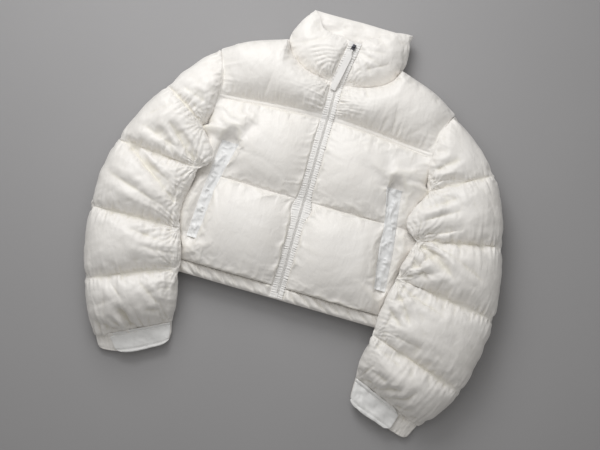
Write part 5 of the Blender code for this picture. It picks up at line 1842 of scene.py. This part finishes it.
class JACKET_OT_sewing(JacketOperator):
    """Sews the seams that show: chest seam, hem, zip strip, pockets, cuffs and straps."""
    bl_idname = "jacket.sewing"
    bl_label = "Sewing"

    def execute(self, context):
        words = [word for _, word in SIDES]
        tree = surface_of("collar_shell", *("%s_%s_shell" % (name, word) for name in
                                            ("front", "yoke", "hem") for word in words))
        trims = surface_of("cuff_left_shell", "cuff_right_shell", *(
            "%s_%s_cloth" % (name, word) for name in ("pocket_welt", "cuff_strap", "zip_tape")
            for word in words))
        frames = []
        for side, _ in SIDES:
            xs = [0.018 + 0.0115 * k for k in range(20)]
            for path in [[(x, CHEST_SEAM - drop_at(x) + lift) for x in xs]
                         for lift in BAND_STITCHES] + [
                    [(x, HEM_TOP - 0.0022) for x in (0.018, 0.10, 0.17, 0.226)],
                    [(x, LOW_SEAM + 0.0006) for x in (0.018, 0.10, 0.182)]]:
                frames += sew(tree, signed(side, path), self.sizes)
        for side, _ in SIDES:
            paths = [signed(side, welt_line(side, 0, 0.0018, 20)),
                     signed(side, welt_line(side, 1, -0.0018, 20)),
                     [(zip_x(y) + side * (strip_half(y) - 0.0032), y)
                      for y in [0.006 + 0.0098 * k for k in range(60)]]]
            tip, root = strap_ends(side)
            for share, first, last in ((0.07, 2, SLEEVE_RING // 2 - 1),
                                       (0.90, 2, SLEEVE_RING // 2 - 1),
                                       (0.20, tip + 5, root - 1), (0.80, tip + 5, root - 1)):
                ring = cuff_ring(side, share, 1.0, 0.008)
                paths.append([point[:2] for point in ring[first:last]])
            for path in paths:
                frames += sew(trims, path, self.sizes)
        stitches = joined("stitches", stitch_template(), frames)
        dress(stitches, "thread", [], angle=40.0)
        return {"FINISHED"}


class JACKET_OT_stage(JacketOperator):
    """Makes the floor, the lights and the camera."""
    bl_idname = "jacket.stage"
    bl_label = "Stage"

    def execute(self, context):
        settings = context.scene.jacket_stage
        colours = context.scene.jacket_colours
        bpy.ops.mesh.primitive_plane_add(size=9.0, location=(0.0, 0.0, -0.0004))
        floor = bpy.context.object
        floor.name = "floor"
        finish = Finish("floor_finish", Roughness=0.85)
        clouds = finish.clouds(2.2, 3.0)
        finish.set("Base Color", finish.mix(clouds, four(colours.floor, 0.96),
                                            four(colours.floor, 1.04)))
        finish.set("Normal", finish.relief(finish.clouds(900.0, 2.0), 0.0006, 0.35))
        floor.data.materials.append(finish.material)
        middle = Vector((0.007, 0.043, 0.04))
        up_picture = Vector((-math.sin(CAMERA_TURN), math.cos(CAMERA_TURN), 0.0))
        for name, back, high, size, power, shift in (
                ("key", 1.65, 1.30, 1.0, settings.key_light, -0.35),
                ("fill", 0.50, 1.05, 1.2, settings.fill_light, -0.15)):
            data = bpy.data.lights.new(name, "AREA")
            data.energy = power
            data.size = size
            lamp = bpy.data.objects.new(name, data)
            side = Vector((up_picture.y, -up_picture.x, 0.0))
            lamp.location = middle + up_picture * back + side * shift + Vector((0, 0, high))
            lamp.rotation_euler = (middle - lamp.location).to_track_quat("-Z", "Y").to_euler()
            context.scene.collection.objects.link(lamp)
        world = bpy.data.worlds.new("studio")
        world.use_nodes = True
        sky = world.node_tree.nodes["Background"]
        sky.inputs["Color"].default_value = (1.0, 0.99, 0.97, 1.0)
        sky.inputs["Strength"].default_value = settings.sky
        context.scene.world = world
        context.scene.view_settings.view_transform = "Standard"
        data = bpy.data.cameras.new("camera")
        data.sensor_width = 36.0
        data.lens = 18.0 / math.tan(math.radians(CAMERA_VIEW) / 2)
        camera = bpy.data.objects.new("camera", data)
        high = math.radians(CAMERA_HIGH)
        back = Vector((math.sin(CAMERA_TURN) * math.cos(high),
                       -math.cos(CAMERA_TURN) * math.cos(high), math.sin(high)))
        camera.location = middle + back * CAMERA_FAR
        camera.rotation_euler = (-back).to_track_quat("-Z", "Y").to_euler()
        context.scene.collection.objects.link(camera)
        context.scene.camera = camera
        return {"FINISHED"}


class JACKET_PT_panel(bpy.types.Panel):
    """The jacket's pieces, sizes and colours."""
    bl_label = "Puffer jacket"
    bl_idname = "JACKET_PT_panel"
    bl_space_type = "VIEW_3D"
    bl_region_type = "UI"
    bl_category = "Jacket"

    def draw(self, context):
        for operator in OPERATORS:
            self.layout.operator(operator.bl_idname)
        for group in (context.scene.jacket_sizes, context.scene.jacket_colours,
                      context.scene.jacket_stage):
            box = self.layout.box()
            for name in group.bl_rna.properties.keys():
                if name not in ("rna_type", "name"):
                    box.prop(group, name)


OPERATORS = (JACKET_OT_back, JACKET_OT_fronts, JACKET_OT_yokes, JACKET_OT_hems, JACKET_OT_sleeves,
             JACKET_OT_cuffs, JACKET_OT_collar, JACKET_OT_fill, JACKET_OT_welts, JACKET_OT_zip,
             JACKET_OT_ribbon, JACKET_OT_sewing, JACKET_OT_stage)
CLASSES = (JacketSizes, JacketColours, StageSettings) + OPERATORS + (JACKET_PT_panel,)
GROUPS = {"jacket_sizes": JacketSizes, "jacket_colours": JacketColours,
          "jacket_stage": StageSettings}


def register():
    for made in CLASSES:
        bpy.utils.register_class(made)
    for name, group in GROUPS.items():
        setattr(bpy.types.Scene, name, PointerProperty(type=group))


def unregister():
    for name in GROUPS:
        delattr(bpy.types.Scene, name)
    for made in reversed(CLASSES):
        bpy.utils.unregister_class(made)


def main():
    register()
    bpy.ops.object.select_all(action="DESELECT")
    for operator in OPERATORS:
        group, name = operator.bl_idname.split(".")
        getattr(getattr(bpy.ops, group), name)()


if __name__ == "__main__":
    main()
